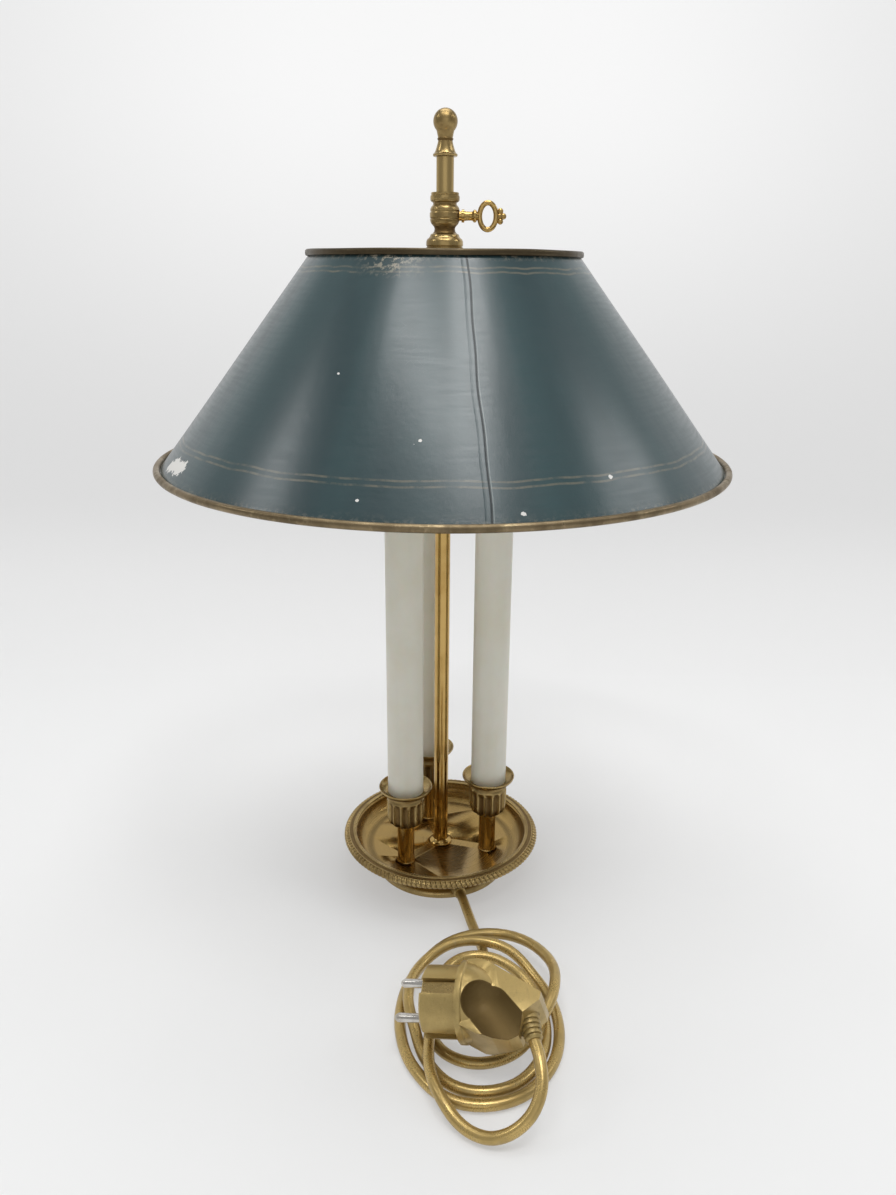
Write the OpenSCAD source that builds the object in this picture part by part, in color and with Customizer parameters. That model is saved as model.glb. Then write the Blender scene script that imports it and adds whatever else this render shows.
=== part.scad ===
// Bouillotte table lamp: three candle sleeves on a dished brass tray, a painted
// metal shade that slides and turns on a central stem, and a mains lead with its plug.
// Millimetres. The stem is the Z axis, and the lamp stands on z = 0.

/* [Stem and finial] */
// Height of the whole lamp, from the felt to the tip of the finial
lamp_h = 492; // [480:1:520]
// Diameter of the round stem
stem_d = 10; // [8:0.5:11]
// Height of the finial above the end of the bare stem
finial_h = 25; // [20:1:30]
// Diameter of the ball of the finial
finial_ball_d = 13.8; // [11:0.2:16]

/* [Tray and foot] */
// Outer diameter of the tray over its gadrooned rim
tray_d = 138; // [130:1:160]
// Height of the tray's floor
tray_floor_z = 16; // [15:0.5:20]
// Height of the rim above the tray's floor
tray_depth = 12.5; // [10:0.5:16]
// Thickness of the tray's sheet
tray_sheet = 1.5; // [1:0.1:2]
// Width of the cast rim, seen from above
rim_w = 8.6; // [7:0.2:11]
// Number of gadroons round the rim
gadroon_count = 96; // [72:4:120]
// Depth of the cut between two gadroons
gadroon_cut = 0.9; // [0.4:0.1:1.4]
// Diameter of the foot where it stands
foot_d = 92; // [86:1:100]
// Wall of the spun foot
foot_wall = 1.5; // [1:0.1:2.2]
// Thickness of the felt pad
felt_t = 1.5; // [1:0.1:2.5]
// Thickness of the cast weight's plate
weight_t = 5; // [3:0.5:6]

/* [Candles] */
// Radius of the circle that the three candles stand on
candle_circle_r = 34; // [31:0.5:34.5]
// Direction of the first candle, counted from the right hand side
candle_turn = -14.5; // [-20:0.5:10]
// Outer diameter of a candle sleeve
sleeve_d = 24; // [22:0.5:26]
// Wall of a candle sleeve
sleeve_wall = 1.2; // [0.8:0.1:1.5]
// Height of the sleeves' tops above the shade's lower edge
sleeve_over = 7.5; // [-20:0.5:15]
// Outer diameter of the short post under a cup
post_d = 11.6; // [11:0.1:14]
// Height of the post above the tray
post_h = 28; // [22:1:36]
// Height of the fluted part of a cup
cup_h = 26; // [20:1:32]
// Diameter of the fluted part of a cup
cup_d = 25.6; // [25:0.2:28]
// Diameter of the flared lip of a cup
cup_lip_d = 36; // [33:0.5:40]
// Number of flutes round a cup
flute_count = 14; // [10:1:16]
// Radius of a flute
flute_r = 1.8; // [1.2:0.1:2]

/* [Bulbs] */
// Diameter of a candle bulb
bulb_d = 35; // [30:1:36]
// Length of the glass above its cap
bulb_len = 75; // [65:1:79]

/* [Shade] */
// Diameter over the bead of the bottom rim
shade_d = 350; // [320:2:380]
// Outer diameter of the cone at its top edge
shade_top_d = 159; // [140:1:180]
// Drop of the shade's lower edge below the end of the bare stem
shade_drop = 172.5; // [168:0.5:182]
// Height of the painted cone
shade_h = 118.7; // [112:0.1:118.7]
// Thickness of the painted sheet
shade_sheet = 0.8; // [0.6:0.1:1.2]
// Diameter of the bead rolled into the bottom rim
bottom_bead_d = 4.4; // [3.4:0.2:6]
// Height of the brass band on the top edge
top_band_h = 3.6; // [2.6:0.2:5]
// Reach of the top band beyond the cone
top_band_over = 1.6; // [0.8:0.1:2.4]
// Width of the lap seam
seam_w = 4; // [3:0.5:6]
// Direction of the lap seam, counted from the right hand side
seam_turn = -82.2; // [-100:0.1:-60]

/* [Shade carrier] */
// Width of a flat arm of the spider
arm_w = 7; // [5:0.5:9]
// Thickness of an arm
arm_t = 2; // [1.5:0.1:3]
// Diameter of the spider's hub
hub_d = 28; // [24:1:34]
// Largest diameter of the collar's swollen middle
collar_d = 17.5; // [16.5:0.1:20]

/* [Key] */
// Diameter of the key's shank
shank_d = 5.4; // [4.4:0.1:6]
// Distance from the stem's axis to the bow
shank_end_x = 19; // [17:0.5:24]
// Width of the oval bow along the shank
bow_w = 12.6; // [11:0.2:15]
// Height of the oval bow
bow_h = 17.6; // [16:0.2:20]
// Thickness of the bow
bow_t = 2.6; // [2:0.1:3.2]
// Width of the bow's metal
bow_rim = 3.1; // [2.5:0.1:3.4]

/* [Mains lead] */
// Diameter of the mains lead
cord_d = 6.4; // [6:0.1:6.6]
// Diameter of the plug's round front
plug_front_d = 37; // [35:0.5:38]
// Length of the plug's round front
plug_front_l = 20; // [17:0.5:21]
// Diameter of a plug pin
pin_d = 4.8; // [4:0.1:4.8]
// Length of a plug pin
pin_l = 17; // [16:0.5:20]
// Distance between the two plug pins
pin_gap = 19; // [19:0.5:20]

/* [Hidden] */
$fn = 64;
seat_gap = 0.1;      // clearance of a piece that slips over or into another
turn_gap = 0.05;     // running clearance of a shaft in its hole
float_gap = 0.3;     // end play between pieces that turn on each other
candle_count = 3;
candle_turns = [for (i = [0:candle_count - 1]) candle_turn + i * 360 / candle_count];
arm_turns = [for (a = candle_turns) a + 180 / candle_count];

// heights up the stem
stem_r = stem_d / 2;
stem_foot_z = felt_t + 0.3;
stem_top_z = lamp_h - finial_h;
stem_tip_h = 10;
stem_tip_r = 0.8 * stem_r;
shade_z = stem_top_z - shade_drop;
sleeve_top_z = shade_z + sleeve_over;

// foot and tray
foot_r = foot_d / 2;
foot_waist_r = foot_r - 5;
foot_top_z = tray_floor_z - tray_sheet;
tray_r = tray_d / 2;
rim_in_r = tray_r - rim_w;
tray_lip_r = rim_in_r + tray_sheet;
rim_top_z = tray_floor_z + tray_depth;
rim_low_z = rim_top_z - 5.6;
rim_cap_t = 1.4;
floor_r = rim_in_r - 9;
weight_r = foot_waist_r - foot_wall - 1;
weight_boss_r = stem_r + 5;
nut_flats = stem_d + 4;
nut_t = 3;
washer_r = stem_r + 4.5;
washer_t = 1;
weight_z = stem_foot_z + nut_t + washer_t;
block_size = [10, 15, 8.5];
block_r = 20;

// where the mains lead leaves the foot
exit_turn = -75;
exit_z = 8;
bushing_flange_r = cord_d / 2 + 3;
bushing_neck_r = cord_d / 2 + 1.8;
bushing_end_r = cord_d / 2 + 0.9;
bushing_in_l = 8;
bushing_out_l = 12;
exit_r = foot_waist_r + bushing_out_l;

// candles
pipe_r = 5;
pipe_bore_r = 3.8;
pipe_foot_z = foot_top_z - nut_t - 1.5;
cup_z = tray_floor_z + post_h;
cup_neck_z = cup_z + cup_h;
cup_lip_z = cup_neck_z + 5;
cup_r = cup_d / 2;
sleeve_r = sleeve_d / 2;
sleeve_in_r = sleeve_r - sleeve_wall;
sleeve_z = cup_neck_z + 1;
holder_r = sleeve_in_r - float_gap;
holder_h = 40;
holder_z = sleeve_top_z - holder_h;
cap_r = 6.9;
cap_l = 25;
holder_bore_r = cap_r + seat_gap;
pipe_top_z = holder_z + 8;
lead_wire_r = 1.4;
wire_ring_r = 28;
wire_z = weight_z + 1.4;
bulb_r = bulb_d / 2;
glass_t = 0.8;

// shade
shade_top_z = shade_z + shade_h;
shade_low_r = shade_d / 2 - bottom_bead_d;
shade_top_r = shade_top_d / 2;
shade_run = shade_low_r - shade_top_r;
shade_slant = sqrt(shade_run * shade_run + shade_h * shade_h);
shade_wall_x = shade_sheet * shade_slant / shade_h;
shade_tilt = atan2(shade_run, shade_h);
band_in_r = shade_top_r - shade_wall_x - 2;
band_out_r = shade_top_r + top_band_over;
band_top_z = shade_top_z + top_band_h;

// collar, spider hub and ring nut
collar_z = shade_top_z + 3.9;
collar_bore_r = stem_r + turn_gap;
collar_disc_r = 10.8;
collar_disc_t = 6.5;
collar_h = 31;
collar_r = collar_d / 2;
spigot_r = stem_r + 2.4;
hub_t = 5;
hub_bore_r = spigot_r + turn_gap;
hub_top_z = collar_z - float_gap;
hub_z = hub_top_z - hub_t;
ring_nut_t = 4;
ring_nut_r = spigot_r + 4;
ring_nut_z = hub_z - float_gap - ring_nut_t;
spigot_z = ring_nut_z - 1;
arm_z = hub_z + 0.6;
key_z = collar_z + 18.6;
key_tip_x = stem_r + 0.2;
shank_r = shank_d / 2;
crown_r = 1.8;

// finial
ball_r = finial_ball_d / 2;
bell_h = 9;
bell_r = 7;
neck_r = 4.2;

// mains lead: the route's points, [x, y, z]; a lead whose middle is at cord_z lies
// on the table
cord_r = cord_d / 2;
cord_sides = 8;
cord_z = 3.4;
exit_dir = [cos(exit_turn), sin(exit_turn), 0];
exit_pt = exit_r * exit_dir + [0, 0, exit_z];
lead_pts = [
    exit_pt,
    exit_pt + 8 * exit_dir,
    [18.5, -68.5, 6.2],
    [22, -81, 4.2],
    [25.5, -93, cord_z],
    [28, -105, cord_z],
    [26.5, -117.5, cord_z],
    [20, -128.5, cord_z],
    [11, -137.5, cord_z],
    [3.4, -147, cord_z],
    [-1.6, -157, cord_z]
];

// the coil's turns about coil_at: [radius, height] for every coil_step degrees
coil_at = [25, -160];
coil_turn = -165;
coil_step = 30;
coil_rings = 3;
coil_table = [
    [29.8, cord_z], [32, cord_z], [32, cord_z], [30.5, cord_z], [30.5, 5], [34, 12],
    [43.5, 17.2], [57, 14], [66, 10.6], [61, 10], [53.5, 4.5], [47.5, cord_z],
    [46.8, cord_z], [51.5, cord_z], [58.5, cord_z], [57, cord_z], [50, cord_z], [44.5, cord_z],
    [43.2, 3.5], [46.4, 5.2], [54.5, 10.8], [54, 14], [50, 10.8], [43.6, 10.6],
    [39, 6.4], [43, 3.5], [50, cord_z], [49, cord_z], [42.5, cord_z], [37, cord_z],
    [35.6, 4], [38, 7.6], [42, 10.8]
];

// from the coil over its turns, round the bottom and up to the plug
tail_pts = [
    [25.8, -116.6, 11.2],
    [16.3, -117.8, 11.2],
    [8.2, -123.2, 10.8],
    [3, -131.6, 10.4],
    [0.2, -142, 10.3],
    [-1.2, -153, 10.3],
    [-2.6, -164, 10.4],
    [-3.8, -175, 10.5],
    [-4.4, -186, 10.6],
    [-4.2, -197.5, 10.6],
    [-2, -209, 10.4],
    [2.8, -219.6, 8.8],
    [9.6, -228.8, 5.6],
    [18, -235.8, 4.4],
    [28, -239.8, 5.6],
    [38.6, -239.8, 10.3],
    [47.4, -235.8, 17.4],
    [52.2, -227.8, 25.1]
];

// the plug's place, the middle of its face, and its pose: turned about its pins'
// direction, dipped and swung round
plug_at = [-5, -177.5, 32];
plug_pose = [66, 10, 167];
flange_r = plug_front_d / 2 + 2.5;
flange_t = 3;
grip_half = 12.5;
scoop_r = 14;
scoop_depth = 5.5;
face_r = plug_front_d / 2;
flange_x = -plug_front_l - flange_t;
sleeve_end = [flange_x - 37, 0, -19];
cable_lean = 20.5;
cable_dir = [-sin(cable_lean), 0, -cos(cable_lean)];
cable_sleeve_l = 20;
cable_sleeve_r = 7;
cable_sleeve_end_r = 4.6;
pin_r = pin_d / 2;

function turn_x(p, a) = [p.x, p.y * cos(a) - p.z * sin(a), p.y * sin(a) + p.z * cos(a)];
function turn_y(p, a) = [p.x * cos(a) + p.z * sin(a), p.y, p.z * cos(a) - p.x * sin(a)];
function turn_z(p, a) = [p.x * cos(a) - p.y * sin(a), p.x * sin(a) + p.y * cos(a), p.z];
function plug_turned(p) = turn_z(turn_y(turn_x(p, plug_pose.x), plug_pose.y), plug_pose.z);
plug_end = plug_at + plug_turned(sleeve_end);
plug_out = plug_turned(cable_dir);

// ---------------------------------------------------------------- the lead's centre line
// the list with one more point at each end, in line with the last two
function with_ends(p) = let (n = len(p) - 1)
    concat([2 * p[0] - p[1]], p, [2 * p[n] - p[n - 1]]);

// a smooth curve through four points, between the two in the middle
function between(a, b, c, d, t) = (2 * b + (c - a) * t + (2 * a - 5 * b + 4 * c - d) * t * t
    + (3 * b - a - 3 * c + d) * t * t * t) / 2;

// n pieces of curve for each step of a list
function smooth(p, n) = let (q = with_ends(p)) concat(
    [for (i = [1:len(q) - 3], k = [0:n - 1]) between(q[i - 1], q[i], q[i + 1], q[i + 2], k / n)],
    [p[len(p) - 1]]);

coil_path = smooth(coil_table, coil_rings);
coil_pts = [for (i = [0:len(coil_path) - 1]) let (a = coil_turn + coil_step * i / coil_rings) [
    coil_at.x + coil_path[i].x * cos(a), coil_at.y + coil_path[i].x * sin(a), coil_path[i].y]];
coil_last = len(coil_pts) - 1;
lead_path = smooth(concat(lead_pts, [coil_pts[0], coil_pts[coil_rings]]), 2);
tail_path = smooth(concat([coil_pts[coil_last - 1], coil_pts[coil_last]], tail_pts,
    [plug_end + 10 * plug_out, plug_end]), 2);
lead_rings = [for (i = [0:len(lead_path) - 3]) lead_path[i]];
tail_rings = [for (i = [2:len(tail_path) - 1]) tail_path[i]];

// the whole line, and where the coil starts and ends in it
line = concat(lead_rings, [for (i = [1:coil_last]) coil_pts[i]],
    [for (i = [1:len(tail_rings) - 1]) tail_rings[i]]);
coil_first_ring = len(lead_rings) - 1;
coil_last_ring = coil_first_ring + coil_last;
line_last = len(line) - 1;

function unit(v) = v / norm(v);
line_dirs = [for (i = [0:line_last]) i == 0 ? exit_dir : i == line_last ? -plug_out
    : unit(line[i + 1] - line[i - 1])];

// the side direction of each ring, carried along the line without twisting
function flattened(v, dir) = unit(v - (v * dir) * dir);
line_sides = [for (i = 0, v = flattened([0, 0, 1], line_dirs[0]); i <= line_last;
    i = i + 1, v = i > line_last ? v : flattened(v, line_dirs[i])) v];

function ring(i) = [for (k = [0:cord_sides - 1]) line[i] + cord_r * (cos(k * 360 / cord_sides)
    * line_sides[i] + sin(k * 360 / cord_sides) * cross(line_dirs[i], line_sides[i]))];

// the tube round the line from one ring to another
module cord_tube(first, last) {
    m = cord_sides;
    n = last - first;
    sides = [for (i = [0:n - 1], k = [0:m - 1], t = [0, 1]) t == 0
        ? [i * m + k, (i + 1) * m + k, i * m + (k + 1) % m]
        : [(i + 1) * m + k, (i + 1) * m + (k + 1) % m, i * m + (k + 1) % m]];
    polyhedron(points = [for (i = [first:last]) each ring(i)],
        faces = concat([[for (k = [0:m - 1]) k]], sides, [[for (k = [m - 1:-1:0]) n * m + k]]));
}

// the least gap between two stretches of the lead, and the lead's length
line_s = [for (i = 0, s = 0; i <= line_last;
    i = i + 1, s = i > line_last ? s : s + norm(line[i] - line[i - 1])) s];
least_gap = min([for (i = [0:line_last], j = [i:line_last])
    if (line_s[j] - line_s[i] > 24) norm(line[i] - line[j]) - cord_d]);
echo(least_gap = least_gap, cord_length = line_s[line_last], rings = line_last + 1);

// ---------------------------------------------------------------- shared shapes
function arc_pts(c, r, a0, a1, n) =
    [for (i = [0:n]) c + r * [cos(a0 + (a1 - a0) * i / n), sin(a0 + (a1 - a0) * i / n)]];

module turned(points) {
    rotate_extrude($fn = 96) polygon(points);
}

module tube(r_out, r_in, z0, z1) {
    translate([0, 0, z0]) difference() {
        cylinder(r = r_out, h = z1 - z0);
        translate([0, 0, -1]) cylinder(r = r_in, h = z1 - z0 + 2);
    }
}

module hex_nut(flats, bore_r, z0, t) {
    translate([0, 0, z0]) difference() {
        cylinder(d = flats / cos(30), h = t, $fn = 6);
        translate([0, 0, -1]) cylinder(r = bore_r, h = t + 2);
    }
}

// puts a child on the stand of one candle
module at_candle(i) {
    rotate([0, 0, candle_turns[i]]) translate([candle_circle_r, 0, 0]) children();
}

// puts a child, drawn along +X, where the mains lead leaves the foot
module at_exit() {
    rotate([0, 0, exit_turn]) translate([0, 0, exit_z]) children();
}

// ---------------------------------------------------------------- foot and tray
module felt_pad() {
    color("darkgreen") cylinder(r = foot_r - foot_wall - seat_gap, h = felt_t);
}

function foot_outer() = [
    [foot_r, 0], [foot_r, 2.5], [foot_r - 1, 4], [foot_waist_r + 0.6, 6], [foot_waist_r, 8.5],
    [foot_waist_r + 1.2, 11.5], [foot_waist_r + 2, foot_top_z]];

module base_foot() {
    outer = foot_outer();
    last = len(outer) - 1;
    inner = [for (i = [last:-1:0]) outer[i] - [foot_wall, 0]];
    color("goldenrod") difference() {
        turned(concat(outer, inner));
        at_exit() rotate([0, 90, 0])
            cylinder(r = bushing_neck_r + seat_gap, h = 2 * foot_r);
    }
}

module base_weight() {
    color("dimgray") difference() {
        union() {
            translate([0, 0, weight_z]) cylinder(r = weight_r, h = weight_t);
            translate([0, 0, weight_z]) cylinder(r = weight_boss_r, h = foot_top_z - weight_z);
        }
        cylinder(r = stem_r + seat_gap, h = tray_floor_z);
        tube(wire_ring_r + lead_wire_r + 1.1, wire_ring_r - lead_wire_r - 1.1, wire_z - 0.4, tray_floor_z);
        at_exit() translate([block_r - block_size.x, -block_size.y / 2 - 1, -exit_z])
            cube([foot_r, block_size.y + 2, tray_floor_z]);
        for (i = [0:candle_count - 1]) at_candle(i)
            cylinder(r = nut_flats / 2 + 1.5, h = tray_floor_z);
    }
}

module stem_nut() {
    color("gold") hex_nut(nut_flats, stem_r + seat_gap, stem_foot_z, nut_t);
}

module stem_washer() {
    color("silver") tube(washer_r, stem_r + seat_gap, stem_foot_z + nut_t, weight_z);
}

module terminal_block() {
    color("white") at_exit()
        translate([block_r - block_size.x / 2, -block_size.y / 2, felt_t - exit_z])
            cube(block_size);
}

// the insulated wires: a ring outside the terminal block, and a wire up each pipe
module inner_leads() {
    color("saddlebrown") {
        tube(wire_ring_r + lead_wire_r, wire_ring_r - lead_wire_r, wire_z, wire_z + 2.4);
        for (i = [0:candle_count - 1]) at_candle(i) {
            translate([wire_ring_r - candle_circle_r, -lead_wire_r, wire_z])
                cube([candle_circle_r - wire_ring_r + lead_wire_r, 2 * lead_wire_r, 2.4]);
            translate([0, 0, wire_z]) cylinder(r = lead_wire_r, h = holder_z + 2 - wire_z);
        }
    }
}

module cord_bushing() {
    wall_r = foot_waist_r - foot_wall;
    color("darkgoldenrod") at_exit() rotate([0, 90, 0]) turned([
        [0, wall_r - bushing_in_l],
        [bushing_end_r, wall_r - bushing_in_l],
        [bushing_end_r, wall_r - 2.2],
        [bushing_flange_r, wall_r - 2.2],
        [bushing_flange_r, wall_r - 0.6],
        [bushing_neck_r, wall_r - 0.6],
        [bushing_neck_r, foot_waist_r + 3],
        [bushing_end_r, exit_r],
        [0, exit_r]]);
}

module tray() {
    lip_z = rim_top_z - rim_cap_t;
    rise = lip_z - tray_floor_z;
    inner = [
        [floor_r, tray_floor_z], [floor_r + 3.4, tray_floor_z + 0.08 * rise],
        [floor_r + 6.2, tray_floor_z + 0.28 * rise],
        [floor_r + 8.2, tray_floor_z + 0.6 * rise], [rim_in_r, lip_z]];
    outer = [
        [tray_lip_r, lip_z], [tray_lip_r, rim_low_z + 0.8],
        [floor_r + 8, tray_floor_z + 0.3 * rise - 1],
        [floor_r + 4, tray_floor_z + 0.08 * rise - tray_sheet], [floor_r, foot_top_z]];
    color("gold") difference() {
        turned(concat([[0, foot_top_z], [0, tray_floor_z]], inner, outer));
        cylinder(r = stem_r + seat_gap, h = 2 * tray_floor_z);
        for (i = [0:candle_count - 1]) at_candle(i)
            cylinder(r = pipe_r + seat_gap, h = 2 * tray_floor_z);
    }
}

// the cast rim: a moulded ring whose outside is cut into gadroons
module tray_rim() {
    bulge_z = rim_low_z + 1.9;
    color("darkgoldenrod") intersection() {
        turned([
            [tray_lip_r + turn_gap, rim_low_z + 0.4], [tray_lip_r + turn_gap, rim_top_z - rim_cap_t],
            [rim_in_r, rim_top_z - rim_cap_t], [rim_in_r, rim_top_z - 0.3],
            [rim_in_r + 0.9, rim_top_z], [rim_in_r + 2, rim_top_z - 0.6],
            [tray_r - 2.6, rim_top_z - 0.9], [tray_r - 0.7, bulge_z + 1.9],
            [tray_r, bulge_z], [tray_r - 1, rim_low_z + 0.3], [tray_r - 3.4, rim_low_z]]);
        linear_extrude(height = 2 * rim_top_z) polygon([for (i = [0:2 * gadroon_count - 1])
            (tray_r + 0.05 - (i % 2) * gadroon_cut)
            * [cos(i * 180 / gadroon_count), sin(i * 180 / gadroon_count)]]);
    }
}

// ---------------------------------------------------------------- stem
module stem() {
    color("gold") {
        translate([0, 0, stem_foot_z]) cylinder(r = stem_r, h = stem_top_z - stem_foot_z);
        translate([0, 0, stem_top_z]) cylinder(r = stem_tip_r, h = stem_tip_h);
    }
}

module stem_seat() {
    seat_r = stem_r + 3;
    color("gold") turned([
        [stem_r + seat_gap, tray_floor_z], [seat_r, tray_floor_z], [seat_r, tray_floor_z + 1],
        [seat_r - 1, tray_floor_z + 1.8], [stem_r + 0.8, tray_floor_z + 2.4],
        [stem_r + seat_gap, tray_floor_z + 3]]);
}

// a bell with a thin rim, a narrow neck and an egg that narrows towards the neck
module finial() {
    ball_z = lamp_h - ball_r;
    z0 = stem_top_z;
    color("darkgoldenrod") difference() {
        turned(concat(
            [[0, z0], [bell_r - 0.3, z0], [bell_r, z0 + 0.5], [bell_r, z0 + 1.2],
                [bell_r - 0.8, z0 + 1.7], [bell_r - 1.6, z0 + 3.2], [neck_r + 0.4, z0 + 6],
                [neck_r, z0 + bell_h - 0.6], [neck_r + 0.5, z0 + bell_h]],
            arc_pts([0, ball_z], ball_r, -46, 90, 12)));
        translate([0, 0, z0 - 1]) cylinder(r = stem_tip_r + seat_gap, h = stem_tip_h + 1.3);
    }
}

// ---------------------------------------------------------------- candles
module post_nuts() {
    color("gold") for (i = [0:candle_count - 1]) at_candle(i) rotate([0, 0, 30])
        hex_nut(nut_flats - 1.5, pipe_r + seat_gap, foot_top_z - nut_t, nut_t);
}

module post() {
    color("gold") tube(post_d / 2, pipe_r + seat_gap, tray_floor_z, cup_z);
}

// a cast cup: a skirt that tapers down to the post, a fluted body and a flared, dished lip
module candle_cup() {
    skirt_h = 5;
    lip_r = cup_lip_d / 2;
    color("darkgoldenrod") difference() {
        turned([
            [0, cup_z], [post_d / 2 + 0.4, cup_z], [post_d / 2 + 0.4, cup_z + 1],
            [cup_r - 2.6, cup_z + skirt_h - 1.4], [cup_r, cup_z + skirt_h],
            [cup_r, cup_neck_z - 4], [cup_r - 1, cup_neck_z - 2.6], [cup_r - 1, cup_neck_z - 1],
            [cup_r + 1.6, cup_neck_z + 0.2], [lip_r - 1.2, cup_neck_z + 1.8],
            [lip_r, cup_lip_z - 1.2], [lip_r, cup_lip_z], [lip_r - 0.8, cup_lip_z],
            [lip_r - 1.8, cup_neck_z + 3], [sleeve_r + 1.8, cup_neck_z + 1.6],
            [sleeve_r + seat_gap, cup_neck_z + 2.4], [sleeve_r + seat_gap, sleeve_z], [0, sleeve_z]]);
        for (k = [0:flute_count - 1]) rotate([0, 0, k * 360 / flute_count])
            translate([cup_r + 0.5, 0, cup_z - 1]) {
                cylinder(r = flute_r, h = cup_h - 5, $fn = 24);
                translate([0, 0, cup_h - 5]) sphere(r = flute_r, $fn = 24);
            }
        translate([0, 0, cup_z - 1]) cylinder(r = pipe_r + seat_gap, h = cup_h + 10);
    }
}

module candle_pipe() {
    color("silver") tube(pipe_r, pipe_bore_r, pipe_foot_z, pipe_top_z);
}

module lampholder() {
    color("white") difference() {
        union() {
            translate([0, 0, holder_z]) cylinder(r = holder_r - 2.5, h = 12);
            translate([0, 0, holder_z + 10]) cylinder(r = holder_r, h = holder_h - 10);
        }
        translate([0, 0, holder_z - 1]) cylinder(r = pipe_r + seat_gap, h = pipe_top_z - holder_z + 1.2);
        translate([0, 0, sleeve_top_z - cap_l - 1]) cylinder(r = holder_bore_r, h = cap_l + 2);
    }
}

module candle_sleeve() {
    color("ivory") tube(sleeve_r, sleeve_in_r, sleeve_z, sleeve_top_z);
}

module bulb_cap() {
    base_z = sleeve_top_z - cap_l + 0.2;
    color("silver") turned([
        [0, base_z - 1], [2.4, base_z - 1], [3.2, base_z], [cap_r, base_z + 3],
        [cap_r, sleeve_top_z], [cap_r + 1.1, sleeve_top_z + 2.5], [0, sleeve_top_z + 2.5]]);
}

function glass_outline(shrink) = let (z0 = sleeve_top_z + 2.5, h = bulb_len - 2.5, r = bulb_r - shrink) [
    [cap_r + 1.1 - shrink, z0], [cap_r + 3.1 - shrink, z0 + 0.06 * h], [0.85 * r, z0 + 0.2 * h],
    [r, z0 + 0.36 * h], [0.97 * r, z0 + 0.5 * h], [0.78 * r, z0 + 0.68 * h],
    [0.46 * r, z0 + 0.84 * h], [0.2 * r, z0 + 0.94 * h], [0, z0 + h - shrink]];

module bulb_glass() {
    outer = glass_outline(0);
    inner = glass_outline(glass_t);
    color("white", 0.6) turned(concat(outer, [for (i = [len(inner) - 1:-1:0]) inner[i]]));
}

// ---------------------------------------------------------------- collar and key
module collar() {
    z0 = collar_z;
    color("darkgoldenrod") difference() {
        turned(concat(
            [[collar_bore_r, spigot_z], [spigot_r, spigot_z], [spigot_r, z0], [collar_disc_r, z0],
                [collar_disc_r, z0 + 1.2], [collar_disc_r - 0.7, z0 + 1.7],
                [collar_disc_r, z0 + 2.4], [collar_disc_r - 0.2, z0 + 4.8],
                [collar_disc_r - 1.2, z0 + collar_disc_t], [collar_r - 0.4, z0 + 8.2],
                [stem_r + 1.4, z0 + 9.6], [stem_r + 0.9, z0 + 11.4], [stem_r + 1.6, z0 + 13],
                [collar_r - 1.2, z0 + 14.1], [collar_r - 0.3, z0 + 16.4]],
            [[collar_r, z0 + 19.3], [collar_r - 0.4, z0 + 22.4], [collar_r - 1.6, z0 + 24],
                [stem_r + 1.7, z0 + 24.8], [stem_r + 1.9, z0 + 25.6], [collar_r - 0.5, z0 + 26.4],
                [collar_r - 0.2, z0 + 28.4], [collar_r - 0.7, z0 + collar_h],
                [collar_bore_r, z0 + collar_h]]));
        translate([0, 0, key_z]) rotate([0, 90, 0]) cylinder(r = shank_r + turn_gap, h = 2 * collar_r);
    }
}

module oval(w, h) {
    for (s = [-1, 1]) translate([0, s * (h - w) / 2]) circle(d = w);
    square([w, h - w], center = true);
}

// a thumb screw shaped as a key: shank, two rings, an oval bow and three lobes
module key_screw() {
    bow_x = shank_end_x + bow_w / 2 - 0.4;
    crown_x = shank_end_x + bow_w + 0.6;
    color("gold") translate([0, 0, key_z]) {
        rotate([0, 90, 0]) {
            translate([0, 0, key_tip_x]) cylinder(r = shank_r, h = shank_end_x - key_tip_x);
            translate([0, 0, collar_r + 1]) cylinder(r = shank_r + 0.9, h = 1.6);
            translate([0, 0, shank_end_x - 2.4]) cylinder(r = shank_r + 0.9, h = 1.6);
        }
        translate([bow_x, bow_t / 2, 0]) rotate([90, 0, 0]) linear_extrude(height = bow_t) difference() {
            oval(bow_w, bow_h);
            oval(bow_w - 2 * bow_rim, bow_h - 2 * bow_rim);
        }
        translate([crown_x, bow_t / 2, 0]) rotate([90, 0, 0]) linear_extrude(height = bow_t) {
            for (s = [-1, 1]) translate([0, s * 2.9]) circle(r = crown_r);
            translate([crown_r, 0]) circle(r = crown_r);
            translate([-0.6, -1.8]) square([crown_r, 3.6]);
        }
    }
}

// ---------------------------------------------------------------- shade
module shade_spider() {
    color("darkgoldenrod") {
        tube(hub_d / 2, hub_bore_r, hub_z, hub_top_z);
        intersection() {
            for (a = arm_turns) rotate([0, 0, a])
                translate([hub_d / 2 - 2, -arm_w / 2, arm_z]) cube([band_in_r, arm_w, arm_t]);
            cylinder(r = band_in_r - turn_gap, h = lamp_h);
        }
        intersection() {
            for (a = arm_turns) rotate([0, 0, a])
                translate([band_in_r - 2.2, -arm_w / 2, arm_z]) cube([4, arm_w, band_top_z - arm_z - 0.6]);
            cylinder(r = band_in_r - turn_gap, h = lamp_h);
        }
    }
}

module shade_ring_nut() {
    color("darkgoldenrod") difference() {
        tube(ring_nut_r, spigot_r + seat_gap, ring_nut_z, ring_nut_z + ring_nut_t);
        for (k = [0:11]) rotate([0, 0, 30 * k])
            translate([ring_nut_r + 0.5, 0, ring_nut_z - 1]) cylinder(r = 1, h = ring_nut_t + 2, $fn = 16);
    }
}

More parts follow.
